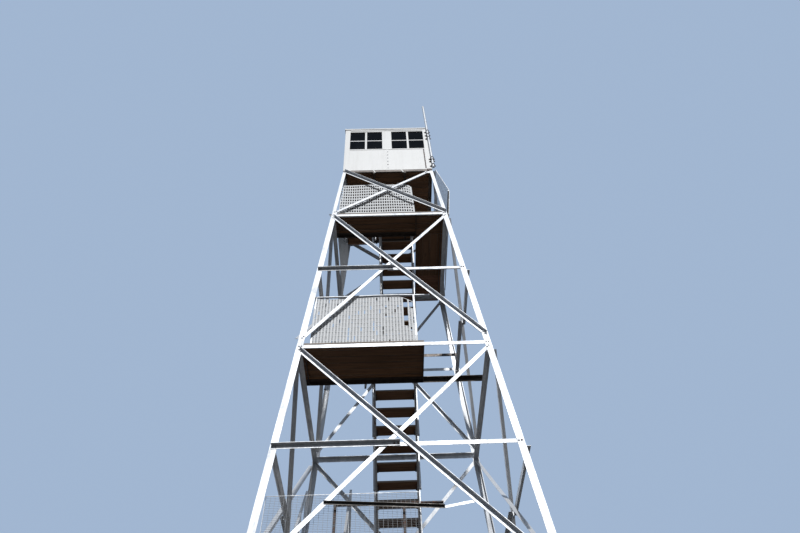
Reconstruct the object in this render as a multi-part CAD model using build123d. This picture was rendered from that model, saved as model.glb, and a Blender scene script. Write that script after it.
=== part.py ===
from build123d import *
import os
from math import atan, cos, hypot, sin, atan2, degrees

os.makedirs("parts", exist_ok=True)

# A steel fire lookout tower: four leaning legs, a small square cab, zigzag stairs inside.
# Millimetres. X runs to the right along the front, Y to the back, Z up. The origin is on the
# ground in the middle of the four legs.

# Overall sizes
BASE_WIDTH = 4485
CAB_SIDE = 2134
HALF_PANEL = 2092.5
TOP_PANEL = 2061
CLEAR = 5

# Footings
PIER_SIDE = 450
PIER_HEIGHT = 300
PIER_INSET = 40
PLATE_SIDE = 280
PLATE_THICK = 12

# Legs, struts and braces are rolled angles
LEG_SIDE = 102
LEG_SIDE_TOP = 76
LEG_THICK = 10
LEG_SPLICE_ABOVE = 150
STRUT_SIDE = 75
STRUT_THICK = 6
HALF_STRUT_SIDE = 66
STRUT_SPLICE = 35
STRUT_OVERLAP = 105
FRONT_STRUT_RAISE = 45
BRACE_SIDE = 64
BRACE_THICK = 6
BRACE_LAP = 15
BRACE_FOOT_RAISE = 75
BRACE_NOTCH_HALF = 77
TOP_BRACE_FOOT = 5
TOP_BRACE_HEAD = 56
TOP_BRACE_GAUGE = 42
TOP_GUSSET_REACH = 92

# Landings
DECK_THICK = 38
BEAM_DEPTH = 75
BEAM_THICK = 8
STAIR_FRONT = -650
STAIR_BACK = 950
FRONT_DECK_RIGHT = 490
BACK_DECK_RIGHT = 600
WALKWAY_LEFT = 570
WALKWAY_PAST = 110

# Stairs
RISER_TARGET = 232.5
GOING = 178
TREAD_THICK = 38
TREAD_DEPTH = 230
NOSE_LEAD = 70
STRINGER_ABOVE = 8
STRINGER_BELOW = 305
STRINGER_THICK = 6
STRINGER_FLANGE = 32
HANDRAIL_HEIGHT = 900
HANDRAIL_SIDE = 38
HANDRAIL_POSTS = 4
LOW_LEFT_LANE = -1180
LEFT_LANE = -840
MIDDLE_LANE = 0
TOP_MIDDLE_LANE = 140
TOP_LEFT_LANE = -670
TREAD_WIDTH = 654
TOP_TREAD_WIDTH = 630
HATCH_TREAD_WIDTH = 552

# Guards of welded wire mesh
MESH_THICK = 6
MESH_CELL = 200
MESH_WIRE = 12
MESH_BORDER = 28
RAIL_SIDE = 38

# Each guard's left end, right end and height, and each rail's ends and top
GUARD_6_FRONT = (-1100, 560, 1440)
GUARD_6_LEFT = (-1000, 1000, 1330)
GUARD_4_FRONT = (-1380, 400, 1300)
GUARD_4_RAIL = (-1440, 670, 1350)
GUARD_4_POSTS = (-1361, 381)
GUARD_2_FRONT = (-1700, 260, 1345)
GUARD_2_RAIL = (-830, 555, 1210)
GUARD_2_POSTS = (-811, 54)

# The sagging angle in front of the lowest guard: its ends and bend as (x, height)
LOW_RAIL_START = (-950, 5708)
LOW_RAIL_BEND = (560, 5600)
LOW_RAIL_END = (960, 5675)
LOW_RAIL_SIDE = 36
LOW_RAIL_THICK = 4

# The screen that bulges out beside the top landing
SCREEN_HALF = 1100
SCREEN_RAIL_X = 1370
SCREEN_RAIL_ABOVE = 1050
SCREEN_POSTS = (-500, 0, 500)
SCREEN_FOOT_ABOVE = 95

# Cab
WALL_HEIGHT = 2100
WALL_THICK = 40
WINDOW_WIDTH = 840
WINDOW_HEIGHT = 920
WINDOW_SILL = 1030
WINDOW_OFFSET = 535
GLASS_THICK = 6
CAB_BEAM_DEPTH = 76
CAB_BEAM_WIDTH = 75
CAB_FLOOR_THICK = 32
JOIST_DEPTH = 120
JOIST_THICK = 45
JOIST_PLACES = (-330, 410)
HATCH_SIDE_CLEAR = 7
HATCH_LENGTH = 1000
ROOF_OVERHANG = 22
ROOF_RISE = 480
ROOF_TOP_SIDE = 150
ROOF_SHEET_DROP = 30
FASCIA_DEPTH = 45
FASCIA_THICK = 20
MAST_RADIUS = 28.5
MAST_FOOT_X = 1100
MAST_TOP_X = 1033
MAST_Y = -1120
MAST_TOP_ABOVE = 3260
CLAMP_HEIGHTS = (120, 340, 450, 1490, 1660, 1840)
CLAMP_TALL = 40
CLAMP_REACH = 12
CLAMP_TAIL = 48

# Heights and widths that follow from these
landing = [PIER_HEIGHT + HALF_PANEL * number for number in range(1, 7)]
cab = landing[-1] + TOP_PANEL
eave = cab + WALL_HEIGHT
taper = (BASE_WIDTH - CAB_SIDE) / 2 / (cab - PIER_HEIGHT)
lean = atan(taper)
leg_wall = LEG_THICK / cos(lean)
panels = [
    (PIER_HEIGHT + PLATE_THICK, landing[1]),
    (landing[1], landing[3]),
    (landing[3], landing[5]),
    (landing[5], cab),
]
front_levels = (1, 3, 5)
back_levels = (0, 2, 4)
brace_margin = BRACE_SIDE / 2 + BRACE_LAP + CLEAR
brace_gauge = LEG_THICK + BRACE_SIDE / 2 + BRACE_LAP / 2 + CLEAR
side_drop = BEAM_DEPTH


def half_width(height):
    """Half the distance between the legs' outer corners at a height."""
    return CAB_SIDE / 2 + taper * (cab - height)


def prism(plane, points, low, high):
    """The outline, drawn in the plane, carried along its normal from low to high."""
    corners = [point for point, after in zip(points, points[1:] + points[:1]) if point != after]
    outline = make_face(Polyline(*corners, close=True))
    return plane.offset(low) * extrude(outline, high - low, dir=(0, 0, 1))


def along_x(points, low, high):
    """An outline of (y, z) points carried along X."""
    return prism(Plane.YZ, points, low, high)


def block(x_low, x_high, y_low, y_high, z_low, z_high):
    """A plain box between two corners."""
    centre = Pos((x_low + x_high) / 2, (y_low + y_high) / 2, (z_low + z_high) / 2)
    return centre * Box(x_high - x_low, y_high - y_low, z_high - z_low)


def save(node, pieces):
    """Write one node's solids to its STEP file."""
    solids = [solid for piece in pieces for solid in piece.solids()]
    whole = solids[0] if len(solids) == 1 else Compound(children=solids)
    export_step(whole, f"parts/{node}.step")


# Faces of the tower

TURNS = {"front": 0, "right": 90, "back": 180, "left": 270}

front_face = Plane(
    origin=(0, -half_width(0), 0),
    x_dir=(1, 0, 0),
    z_dir=(0, -cos(lean), sin(lean)),
)


def up_face(height):
    """How far up the leaning face a height lies."""
    return height / cos(lean)


def on_side(side, solid):
    """A solid made on the front face, turned to another face."""
    return Rot(0, 0, TURNS[side]) * solid


# Footings and legs


def corner_centre(height):
    return half_width(height) - PIER_INSET


def piers():
    reach = corner_centre(PIER_HEIGHT)
    return [
        Pos(x * reach, y * reach, PIER_HEIGHT / 2) * Box(PIER_SIDE, PIER_SIDE, PIER_HEIGHT)
        for x in (-1, 1)
        for y in (-1, 1)
    ]


def base_plates():
    reach = corner_centre(PIER_HEIGHT)
    height = PIER_HEIGHT + PLATE_THICK / 2
    return [
        Pos(x * reach, y * reach, height) * Box(PLATE_SIDE, PLATE_SIDE, PLATE_THICK)
        for x in (-1, 1)
        for y in (-1, 1)
    ]


def leg_length(x_side, y_side, low, high, flange):
    """One leaning length of leg, its heel on the tower's corner."""
    heel = half_width(low)
    tip = heel - flange
    inner = heel - leg_wall
    outline = [(heel, heel), (tip, heel), (tip, inner), (inner, inner), (inner, tip), (heel, tip)]
    placed = [(x_side * x, y_side * y) for x, y in outline]
    face = Pos(0, 0, low) * make_face(Polyline(*placed, close=True)).face()
    rise = high - low
    lean_in = Vector(-x_side * taper * rise, -y_side * taper * rise, rise)
    return Solid.extrude(face, lean_in)


def leg(x_side, y_side):
    splice = landing[5] + LEG_SPLICE_ABOVE
    lower = leg_length(x_side, y_side, PIER_HEIGHT + PLATE_THICK, splice, LEG_SIDE)
    upper = leg_length(x_side, y_side, splice, cab - CAB_BEAM_DEPTH, LEG_SIDE_TOP)
    return lower + upper


# Braces and struts


def brace_line(panel, drop, outside=False):
    """Ends of the brace that rises to the right, as (x, height) at the leg flanges."""
    low, high = panel
    start = low + DECK_THICK + brace_margin
    stop = high - STRUT_SIDE - drop - brace_margin
    if panel != panels[-1]:
        start += BRACE_FOOT_RAISE
    elif outside:
        start = low + TOP_BRACE_FOOT
        stop = high - TOP_BRACE_HEAD
        gauge = TOP_BRACE_GAUGE
        return (-(half_width(start) - gauge), start), (half_width(stop) - gauge, stop)
    else:
        head = half_width(stop) - brace_gauge - TOP_GUSSET_REACH
        return (-(half_width(start) - brace_gauge), start), (head, stop)
    return (-(half_width(start) - brace_gauge), start), (half_width(stop) - brace_gauge, stop)


def brace(panel, drop, rises_right, outside):
    """An angle across one panel of the front face, its standing flange on the upper edge."""
    (x_low, z_low), (x_high, z_high) = brace_line(panel, drop, outside)
    run = x_high - x_low
    climb = up_face(z_high - z_low)
    length = hypot(run, climb) + 2 * BRACE_LAP
    side = 1 if outside else -1
    flat = Pos(0, 0, side * BRACE_THICK / 2) * Box(length, BRACE_SIDE, BRACE_THICK)
    edge = Pos(0, (BRACE_SIDE - BRACE_THICK) / 2, side * BRACE_SIDE / 2)
    bar = flat + edge * Box(length, BRACE_THICK, BRACE_SIDE)
    tilt = degrees(atan2(climb, run))
    middle = (x_low + x_high) / 2
    if not rises_right:
        tilt = -tilt
        middle = -middle
    base = 0 if outside else -LEG_THICK
    height = up_face((z_low + z_high) / 2)
    return front_face * (Pos(middle, height, base) * (Rot(0, 0, tilt) * bar))


def top_gusset():
    """The plate that carries the inner top brace's head to the leg, in the brace's own layer."""
    (x_low, z_low), (x_head, z_head) = brace_line(panels[-1], 0)
    top = z_head + BRACE_SIDE / 2 + BRACE_LAP / 2
    leg_side = half_width(top) - leg_wall - CLEAR
    corners = [
        (x_head - BRACE_SIDE, z_head - BRACE_SIDE / 2),
        (x_head - BRACE_SIDE / 2, top),
        (leg_side, top),
        (leg_side, z_head - BRACE_SIDE),
    ]
    outline = Polyline(*[(x, up_face(z)) for x, z in corners], close=True)
    plate = extrude(make_face(outline), BRACE_THICK, dir=(0, 0, -1))
    return front_face * (Pos(0, 0, -LEG_THICK) * plate)


def face_braces(side):
    """Two crossing braces in each panel: the one that falls to the right is outside the legs."""
    bars = []
    for number, panel in enumerate(panels):
        top = number == len(panels) - 1
        drop = side_drop if side in ("left", "right") and not top else 0
        rising = brace(panel, drop, True, False)
        if top:
            rising = rising + top_gusset()
        bars.append(on_side(side, rising))
        bars.append(on_side(side, brace(panel, drop, False, True)))
    return bars


def strut(top, outside, x_low, x_high, size=STRUT_SIDE):
    """A level angle along the front face, against the outer or inner side of the leg flanges."""
    set_back = 0 if outside else leg_wall
    inward = -1 if outside else 1

    def back_of(height):
        return -(half_width(height) - set_back)

    bottom = top - size
    under = top - STRUT_THICK
    outline = [
        (back_of(top), top),
        (back_of(bottom), bottom),
        (back_of(bottom) + inward * STRUT_THICK, bottom),
        (back_of(under) + inward * STRUT_THICK, under),
        (back_of(top) + inward * size, under),
        (back_of(top) + inward * size, top),
    ]
    return along_x(outline, x_low, x_high)


def strut_spacer(top, x_low, x_high):
    """The packing between the two halves of a middle strut, as thick as the leg flange."""
    bottom = top - HALF_STRUT_SIDE
    outline = [
        (-half_width(top), top),
        (-half_width(bottom), bottom),
        (-half_width(bottom) + leg_wall, bottom),
        (-half_width(top) + leg_wall, top),
    ]
    return along_x(outline, x_low, x_high)


def face_struts(side):
    """A whole strut at each front landing's level, two half struts at each back landing's."""
    bars = []
    for number, level in enumerate(landing):
        carries_beam = side == "right" or (side == "left" and number in front_levels)
        top = level - side_drop if carries_beam else level
        if side == "front" and number in back_levels:
            top = level + FRONT_STRUT_RAISE
        reach = half_width(top) - leg_wall - CLEAR
        if number in front_levels:
            bars.append(on_side(side, strut(top, False, -reach, reach)))
            continue
        overlap = STRUT_SPLICE - STRUT_OVERLAP
        left = strut(top, True, -reach, STRUT_SPLICE, HALF_STRUT_SIDE)
        right = strut(top, False, overlap, reach, HALF_STRUT_SIDE)
        spacer = strut_spacer(top, overlap, STRUT_SPLICE)
        bars.append(on_side(side, left))
        bars.append(on_side(side, right + spacer))
    return bars


# Landings


def deck_reach(level, set_back):
    return half_width(level + DECK_THICK) - set_back


def leg_notches(level):
    """Square cut-outs round the four legs, to take out of a deck."""
    inner = half_width(level) - LEG_SIDE - CLEAR
    outer = half_width(level) + LEG_SIDE
    spans = ((-outer, -inner), (inner, outer))
    return [
        block(x[0], x[1], y[0], y[1], level - DECK_THICK, level + 2 * DECK_THICK)
        for x in spans
        for y in spans
    ]


def brace_notch(level, panel):
    """The cut-out where the back face's inner brace passes a back landing's deck."""
    (x_low, z_low), (x_high, z_high) = brace_line(panel, 0)
    share = (level + DECK_THICK / 2 - z_low) / (z_high - z_low)
    middle = -(x_low + share * (x_high - x_low))
    reach = half_width(level + DECK_THICK)
    depth = leg_wall + BRACE_SIDE + 2 * CLEAR
    return block(
        middle - BRACE_NOTCH_HALF,
        middle + BRACE_NOTCH_HALF,
        reach - depth,
        reach + depth,
        level - DECK_THICK,
        level + 2 * DECK_THICK,
    )


def deck(number):
    """The boards of one landing as a slab, notched round the legs and the brace."""
    level = landing[number]
    left = -deck_reach(level, leg_wall + CLEAR)
    if number in front_levels:
        y_low = -deck_reach(level, 0)
        y_high = STAIR_FRONT
        right = FRONT_DECK_RIGHT
        if number == front_levels[-1]:
            right = -left
    else:
        y_low = STAIR_BACK
        y_high = deck_reach(level, leg_wall + CLEAR)
        right = BACK_DECK_RIGHT
    slab = block(left, right, y_low, y_high, level, level + DECK_THICK)
    for notch in leg_notches(level):
        slab = slab - notch
    if number in back_levels:
        slab = slab - brace_notch(level, panels[number // 2])
    return slab


def walkway_deck():
    """The strip of the top landing that runs back along the right face."""
    level = landing[5]
    reach = deck_reach(level, leg_wall + CLEAR)
    slab = block(WALKWAY_LEFT, reach, STAIR_FRONT, reach, level, level + DECK_THICK)
    for notch in leg_notches(level):
        slab = slab - notch
    leg_edge = half_width(level) - LEG_SIDE - CLEAR
    end = half_width(level) + WALKWAY_PAST
    return slab + block(WALKWAY_LEFT, leg_edge, reach - CLEAR, end, level, level + DECK_THICK)


def cross_beam(level, front, x_low, x_high):
    """The angle along a landing's inner edge, its web facing the stairs."""
    edge = STAIR_FRONT if front else STAIR_BACK
    away = -1 if front else 1
    outline = [
        (edge, level),
        (edge, level - BEAM_DEPTH),
        (edge + away * STRUT_THICK, level - BEAM_DEPTH),
        (edge + away * STRUT_THICK, level - STRUT_THICK),
        (edge + away * STRUT_SIDE, level - STRUT_THICK),
        (edge + away * STRUT_SIDE, level),
    ]
    return along_x(outline, x_low, x_high)


def coped_beam(x_low, y_low, y_high, level, depth, cope_low, cope_high, flange):
    """A deep flat joist along Y, its ends cut down to pass under a flange at each end."""
    under = level - flange
    outline = [
        (y_low, level - depth),
        (y_low, under),
        (y_low + cope_low, under),
        (y_low + cope_low, level),
        (y_high - cope_high, level),
        (y_high - cope_high, under),
        (y_high, under),
        (y_high, level - depth),
    ]
    return along_x(outline, x_low, x_low + BEAM_THICK)


def landing_beams():
    """Cross beams at the stair side of every landing, and joists at the decks' ends."""
    beams = []
    cope = STRUT_SIDE - STRUT_THICK
    for number, level in enumerate(landing):
        front = number in front_levels
        reach = half_width(level) - leg_wall - CLEAR
        strut_face = half_width(level) - leg_wall - STRUT_THICK
        top_landing = number == front_levels[-1]
        left_end = -reach if front else -half_width(level)
        right_end = WALKWAY_LEFT if top_landing else reach
        beams.append(cross_beam(level, front, left_end, right_end))
        if front:
            y_low = -strut_face
            y_high = STAIR_FRONT - STRUT_THICK
        else:
            y_low = STAIR_BACK + STRUT_THICK
            y_high = strut_face
        left_joist = -(half_width(level) - LEG_SIDE - CLEAR - BEAM_THICK)
        places = [left_joist]
        if not top_landing:
            right = FRONT_DECK_RIGHT if front else BACK_DECK_RIGHT
            places.append(right - BEAM_THICK)
        for x_low in places:
            outside_strut = not front and x_low > 0
            far_cope = 0 if outside_strut else cope
            far_end = y_high + STRUT_THICK + leg_wall if outside_strut else y_high
            beams.append(
                coped_beam(x_low, y_low, far_end, level, BEAM_DEPTH, cope, far_cope, STRUT_THICK)
            )
        if top_landing:
            right_joist = -left_joist - BEAM_THICK
            for x_low in (WALKWAY_LEFT, right_joist):
                beams.append(
                    coped_beam(
                        x_low, -strut_face, strut_face, level, BEAM_DEPTH, cope, cope, STRUT_THICK
                    )
                )
    return beams


# Stairs


class Flight:
    """One straight flight: its lane, its two floors and the way it climbs."""

    def __init__(
        self, floor_low, floor_high, lane, width, to_back, from_ground=False, lead=NOSE_LEAD
    ):
        self.low = floor_low
        self.high = floor_high
        self.lane = lane
        self.width = width
        self.way = 1 if to_back else -1
        self.risers = round((floor_high - floor_low) / RISER_TARGET)
        self.top_y = STAIR_BACK if to_back else STAIR_FRONT
        other = STAIR_FRONT if to_back else STAIR_BACK
        self.foot_y = self.top_y - self.way * GOING * self.risers if from_ground else other
        self.going = abs(self.top_y - self.foot_y) / self.risers
        self.rise = (floor_high - floor_low) / self.risers
        self.slope = self.rise / self.going
        self.from_ground = from_ground
        self.lead = lead
        self.posts = HANDRAIL_POSTS

    def line(self, y):
        """Height of the line through the tread noses."""
        return self.low + (self.way * (y - self.foot_y) + self.lead) * self.slope

    def treads(self):
        boards = []
        for number in range(1, self.risers):
            nose = self.foot_y + self.way * (number * self.going - self.lead)
            top = self.low + number * self.rise
            back = nose + self.way * min(TREAD_DEPTH, abs(self.top_y - nose))
            y_low, y_high = sorted((nose, back))
            half = self.width / 2
            boards.append(
                block(self.lane - half, self.lane + half, y_low, y_high, top - TREAD_THICK, top)
            )
        return boards

    def stringer_outline(self, above, below):
        """A slanting strip of the stringer, cut upright at both ends and level at the ground."""
        foot = (self.foot_y, self.line(self.foot_y) + above)
        head = (self.top_y, self.line(self.top_y) + above)
        under_head = (self.top_y, self.line(self.top_y) - below)
        under_foot = (self.foot_y, self.line(self.foot_y) - below)
        if self.from_ground and under_foot[1] < 0:
            meets = self.foot_y + self.way * (below / self.slope - self.lead)
            if foot[1] > 0:
                return [(self.foot_y, 0), foot, head, under_head, (meets, 0)]
            start = self.foot_y - self.way * (above / self.slope + self.lead)
            return [(start, 0), head, under_head, (meets, 0)]
        return [under_foot, foot, head, under_head]

    def stringers(self):
        """A channel each side, web against the treads and flanges pointing away."""
        slant = STRINGER_THICK * hypot(1, self.slope)
        web = self.stringer_outline(STRINGER_ABOVE, STRINGER_BELOW)
        upper = self.stringer_outline(STRINGER_ABOVE, slant - STRINGER_ABOVE)
        lower = self.stringer_outline(slant - STRINGER_BELOW, STRINGER_BELOW)
        half = self.width / 2
        channel = along_x(web, half, half + STRINGER_THICK)
        channel = channel + along_x(upper, half, half + STRINGER_FLANGE)
        channel = channel + along_x(lower, half, half + STRINGER_FLANGE)
        other = mirror(channel, about=Plane.YZ)
        return [Pos(self.lane, 0, 0) * channel, Pos(self.lane, 0, 0) * other]

    def handrails(self, stop_below=None):
        """A rail each side, and the posts under it that run down past the stringer's flanges."""
        end_y = self.top_y
        if stop_below is not None:
            run = (stop_below - self.low - HANDRAIL_HEIGHT) / self.slope - self.lead
            end_y = self.foot_y + self.way * run
        rail_low = HANDRAIL_HEIGHT - HANDRAIL_SIDE * hypot(1, self.slope)
        rail = [
            (self.foot_y, self.line(self.foot_y) + rail_low),
            (self.foot_y, self.line(self.foot_y) + HANDRAIL_HEIGHT),
            (end_y, self.line(end_y) + HANDRAIL_HEIGHT),
            (end_y, self.line(end_y) + rail_low),
        ]
        inner = self.width / 2 + STRINGER_FLANGE
        bars = [along_x(rail, inner, inner + HANDRAIL_SIDE)]
        span = abs(end_y - self.foot_y) - HANDRAIL_SIDE
        for number in range(self.posts):
            y = self.foot_y + self.way * (HANDRAIL_SIDE / 2 + span * number / (self.posts - 1))
            near = y - self.way * HANDRAIL_SIDE / 2
            far = y + self.way * HANDRAIL_SIDE / 2
            foot = max(0, self.line(near) - STRINGER_BELOW / 2)
            post = [
                (near, foot),
                (far, foot),
                (far, self.line(far) + rail_low),
                (near, self.line(near) + rail_low),
            ]
            bars.append(along_x(post, inner, inner + HANDRAIL_SIDE))
        bars += [mirror(bar, about=Plane.YZ) for bar in bars]
        return [Pos(self.lane, 0, 0) * bar for bar in bars]


def flights():
    decks = [level + DECK_THICK for level in landing]
    return [
        Flight(0, decks[0], LOW_LEFT_LANE, TREAD_WIDTH, True, from_ground=True),
        Flight(decks[0], decks[1], MIDDLE_LANE, TREAD_WIDTH, False),
        Flight(decks[1], decks[2], LOW_LEFT_LANE, TREAD_WIDTH, True),
        Flight(decks[2], decks[3], MIDDLE_LANE, TREAD_WIDTH, False),
        Flight(decks[3], decks[4], LEFT_LANE, TREAD_WIDTH, True),
        Flight(decks[4], decks[5], TOP_MIDDLE_LANE, TOP_TREAD_WIDTH, False),
        Flight(decks[5], cab + CAB_FLOOR_THICK, TOP_LEFT_LANE, HATCH_TREAD_WIDTH, True, lead=0),
    ]


# Mesh guards


def mesh_panel(width, height):
    """A flat panel of welded wire with a border, in the XY plane and centred on it."""
    clear_width = width - 2 * MESH_BORDER
    clear_height = height - 2 * MESH_BORDER
    columns = round(clear_width / MESH_CELL)
    rows = round(clear_height / MESH_CELL)
    pitch_x = (clear_width + MESH_WIRE) / columns
    pitch_y = (clear_height + MESH_WIRE) / rows
    hole = Rectangle(pitch_x - MESH_WIRE, pitch_y - MESH_WIRE)
    holes = [(place * hole).wire() for place in GridLocations(pitch_x, pitch_y, columns, rows)]
    outline = Face(Rectangle(width, height).wire(), holes)
    return Solid.extrude(outline, Vector(0, 0, MESH_THICK))


def face_guard(side, level, guard, rail=None, posts=()):
    """A mesh panel standing on a deck inside a face's braces, with a rail and posts behind it."""
    x_low, x_high, height = guard
    back = -(LEG_THICK + BRACE_SIDE) - MESH_THICK - RAIL_SIDE * (rail is not None)
    foot = (level + DECK_THICK - back * sin(lean)) / cos(lean)
    mesh_back = -(LEG_THICK + BRACE_SIDE) - MESH_THICK
    panel = mesh_panel(x_high - x_low, height)
    pieces = [Pos((x_low + x_high) / 2, foot + height / 2, mesh_back) * panel]
    if rail is not None:
        rail_low, rail_high, rail_top = rail
        bar_z = mesh_back - RAIL_SIDE / 2
        bar = Box(rail_high - rail_low, RAIL_SIDE, RAIL_SIDE)
        pieces.append(
            Pos((rail_low + rail_high) / 2, foot + rail_top - RAIL_SIDE / 2, bar_z) * bar
        )
        post_top = rail_top - RAIL_SIDE
        for x in posts:
            post = Box(RAIL_SIDE, post_top, RAIL_SIDE)
            pieces.append(Pos(x, foot + post_top / 2, bar_z) * post)
    return [on_side(side, front_face * piece) for piece in pieces]


def low_rail():
    """The angle across the lowest guard: its outward flange stops short of the outer brace."""

    def standing(start, end, depth):
        x_low, x_high = start[0], end[0]
        top_low, top_high = up_face(start[1]), up_face(end[1])
        corners = [
            (x_low, top_low),
            (x_high, top_high),
            (x_high, top_high - depth),
            (x_low, top_low - depth),
        ]
        return make_face(Polyline(*corners, close=True))

    upright = standing(LOW_RAIL_START, LOW_RAIL_BEND, LOW_RAIL_SIDE)
    end = standing(LOW_RAIL_BEND, LOW_RAIL_END, LOW_RAIL_SIDE)
    edge = standing(LOW_RAIL_START, LOW_RAIL_BEND, LOW_RAIL_THICK)
    bar = extrude(upright, LOW_RAIL_THICK, dir=(0, 0, 1))
    bar = bar + extrude(end, LOW_RAIL_THICK, dir=(0, 0, 1))
    bar = bar + extrude(edge, LOW_RAIL_SIDE, dir=(0, 0, 1))
    return front_face * (Pos(0, 0, -LEG_THICK) * bar)


def leaning_screen(x_low, z_low, x_high, z_high, half_length):
    """A mesh screen along Y, its lower and upper edges at the given places."""
    slope = Vector(x_high - x_low, 0, z_high - z_low)
    place = Plane(
        origin=((x_low + x_high) / 2, 0, (z_low + z_high) / 2),
        x_dir=(0, 1, 0),
        z_dir=Vector(0, 1, 0).cross(slope),
    )
    return place * mesh_panel(2 * half_length, slope.length)


def brace_tip(height):
    """How far out the outside brace's standing flange reaches at a height."""
    return half_width(height) + BRACE_SIDE / cos(lean) + CLEAR


def right_screen():
    """Two mesh screens that bulge out to a rail beside the top landing, on leaning posts."""
    level = landing[5]
    rail_z = level + SCREEN_RAIL_ABOVE
    half = RAIL_SIDE / 2
    rail = block(
        SCREEN_RAIL_X - half,
        SCREEN_RAIL_X + half,
        -SCREEN_HALF,
        SCREEN_HALF,
        rail_z - half,
        rail_z + half,
    )
    posts = []
    floor = level + DECK_THICK
    foot_x = deck_reach(level, leg_wall + CLEAR) - RAIL_SIDE
    for y in SCREEN_POSTS:
        outline = [
            (foot_x, floor),
            (foot_x + RAIL_SIDE, floor),
            (SCREEN_RAIL_X + half, rail_z - half),
            (SCREEN_RAIL_X - half, rail_z - half),
        ]
        posts.append(prism(Plane.XZ, outline, y - half, y + half))
    foot_z = level + SCREEN_FOOT_ABOVE
    edge = SCREEN_RAIL_X + half
    lower = leaning_screen(brace_tip(foot_z), foot_z, edge, rail_z - half, SCREEN_HALF)
    head_z = cab - CAB_BEAM_DEPTH
    upper = leaning_screen(edge - MESH_THICK, rail_z + half, brace_tip(head_z), head_z, SCREEN_HALF)
    return [rail, *posts, lower, upper]


# Cab


def cab_beams():
    """The angles under the walls."""
    half = CAB_SIDE / 2
    low = cab - CAB_BEAM_DEPTH
    inner = half - CAB_BEAM_WIDTH
    under = cab - STRUT_THICK
    beams = []
    for side in (-1, 1):
        outline = [
            (side * half, cab),
            (side * half, low),
            (side * (half - STRUT_THICK), low),
            (side * (half - STRUT_THICK), under),
            (side * inner, under),
            (side * inner, cab),
        ]
        beams.append(along_x(outline, -half, half))
    web_end = half - STRUT_THICK
    for side in (-1, 1):
        web_outline = [
            (-web_end, low),
            (-web_end, under),
            (-inner, under),
            (-inner, cab),
            (inner, cab),
            (inner, under),
            (web_end, under),
            (web_end, low),
        ]
        x_low, x_high = sorted((side * half, side * web_end))
        web = along_x(web_outline, x_low, x_high)
        x_low, x_high = sorted((side * half, side * inner))
        flange = block(x_low, x_high, -inner, inner, under, cab)
        beams.append(web + flange)
    return beams


def cab_joists():
    """The timber joists under the floor and the header at the hatch."""
    half = CAB_SIDE / 2
    inner = half - CAB_BEAM_WIDTH
    web_end = half - STRUT_THICK
    under = cab - STRUT_THICK
    joists = []
    for place in JOIST_PLACES:
        outline = [
            (-web_end, cab - JOIST_DEPTH),
            (-web_end, under),
            (-inner, under),
            (-inner, cab),
            (inner, cab),
            (inner, under),
            (web_end, under),
            (web_end, cab - JOIST_DEPTH),
        ]
        joists.append(along_x(outline, place - JOIST_THICK / 2, place + JOIST_THICK / 2))
    joist_side = JOIST_PLACES[0] - JOIST_THICK / 2
    low = cab - CAB_BEAM_DEPTH
    joists.append(block(-inner, joist_side, STAIR_BACK, inner, low, cab))
    return joists


def cab_floor():
    """The floor boards as a slab inside the walls, with the hatch over the last flight."""
    inner = CAB_SIDE / 2 - WALL_THICK
    slab = block(-inner, inner, -inner, inner, cab, cab + CAB_FLOOR_THICK)
    hatch_half = HATCH_TREAD_WIDTH / 2 + STRINGER_FLANGE + HATCH_SIDE_CLEAR
    hatch = block(
        TOP_LEFT_LANE - hatch_half,
        TOP_LEFT_LANE + hatch_half,
        STAIR_BACK - HATCH_LENGTH,
        STAIR_BACK,
        cab - CAB_FLOOR_THICK,
        cab + 2 * CAB_FLOOR_THICK,
    )
    return slab - hatch


def window_places():
    return [(side * WINDOW_OFFSET, cab + WINDOW_SILL + WINDOW_HEIGHT / 2) for side in (-1, 1)]


def wall(side):
    """One wall of the cab with its two window openings; side walls stand between the others."""
    half = CAB_SIDE / 2
    reach = half if side in ("front", "back") else half - WALL_THICK
    sheet = block(-reach, reach, -half, -half + WALL_THICK, cab, eave)
    for x, z in window_places():
        opening = Box(WINDOW_WIDTH, 2 * WALL_THICK, WINDOW_HEIGHT)
        sheet = sheet - Pos(x, -half + WALL_THICK / 2, z) * opening
    return on_side(side, sheet)


def window_glass():
    """A sheet of glass in each window opening."""
    sheets = []
    for side in ("front", "right", "back", "left"):
        for x, z in window_places():
            sheet = Box(WINDOW_WIDTH, GLASS_THICK, WINDOW_HEIGHT)
            placed = Pos(x, -CAB_SIDE / 2 + WALL_THICK / 2, z) * sheet
            sheets.append(on_side(side, placed))
    return sheets


def roof():
    """Four slopes that meet at the hips, a flat top plate and a fascia under the eaves."""
    side = CAB_SIDE + 2 * ROOF_OVERHANG
    ridge = eave + ROOF_RISE
    eave_outline = Pos(0, 0, eave) * Rectangle(side, side)
    top_outline = Pos(0, 0, ridge) * Rectangle(ROOF_TOP_SIDE, ROOF_TOP_SIDE)
    hip = loft([eave_outline, top_outline], ruled=True)
    top_half = ROOF_TOP_SIDE / 2
    top = block(-top_half, top_half, -top_half, top_half, ridge - ROOF_SHEET_DROP, ridge)
    shell = hip - Pos(0, 0, -ROOF_SHEET_DROP) * hip - top
    wedge = prism(Plane.XY, [(0, 0), (side, -side), (-side, -side)], eave, ridge)
    slope = shell & wedge
    half = side / 2
    pieces = [top]
    for face in TURNS:
        reach = half if face in ("front", "back") else half - FASCIA_THICK
        strip = block(-reach, reach, -half, -half + FASCIA_THICK, eave - FASCIA_DEPTH, eave)
        pieces.append(on_side(face, slope))
        pieces.append(on_side(face, strip))
    return pieces


def mast_x(height):
    share = (height - cab) / MAST_TOP_ABOVE
    return MAST_FOOT_X + share * (MAST_TOP_X - MAST_FOOT_X)


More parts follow.
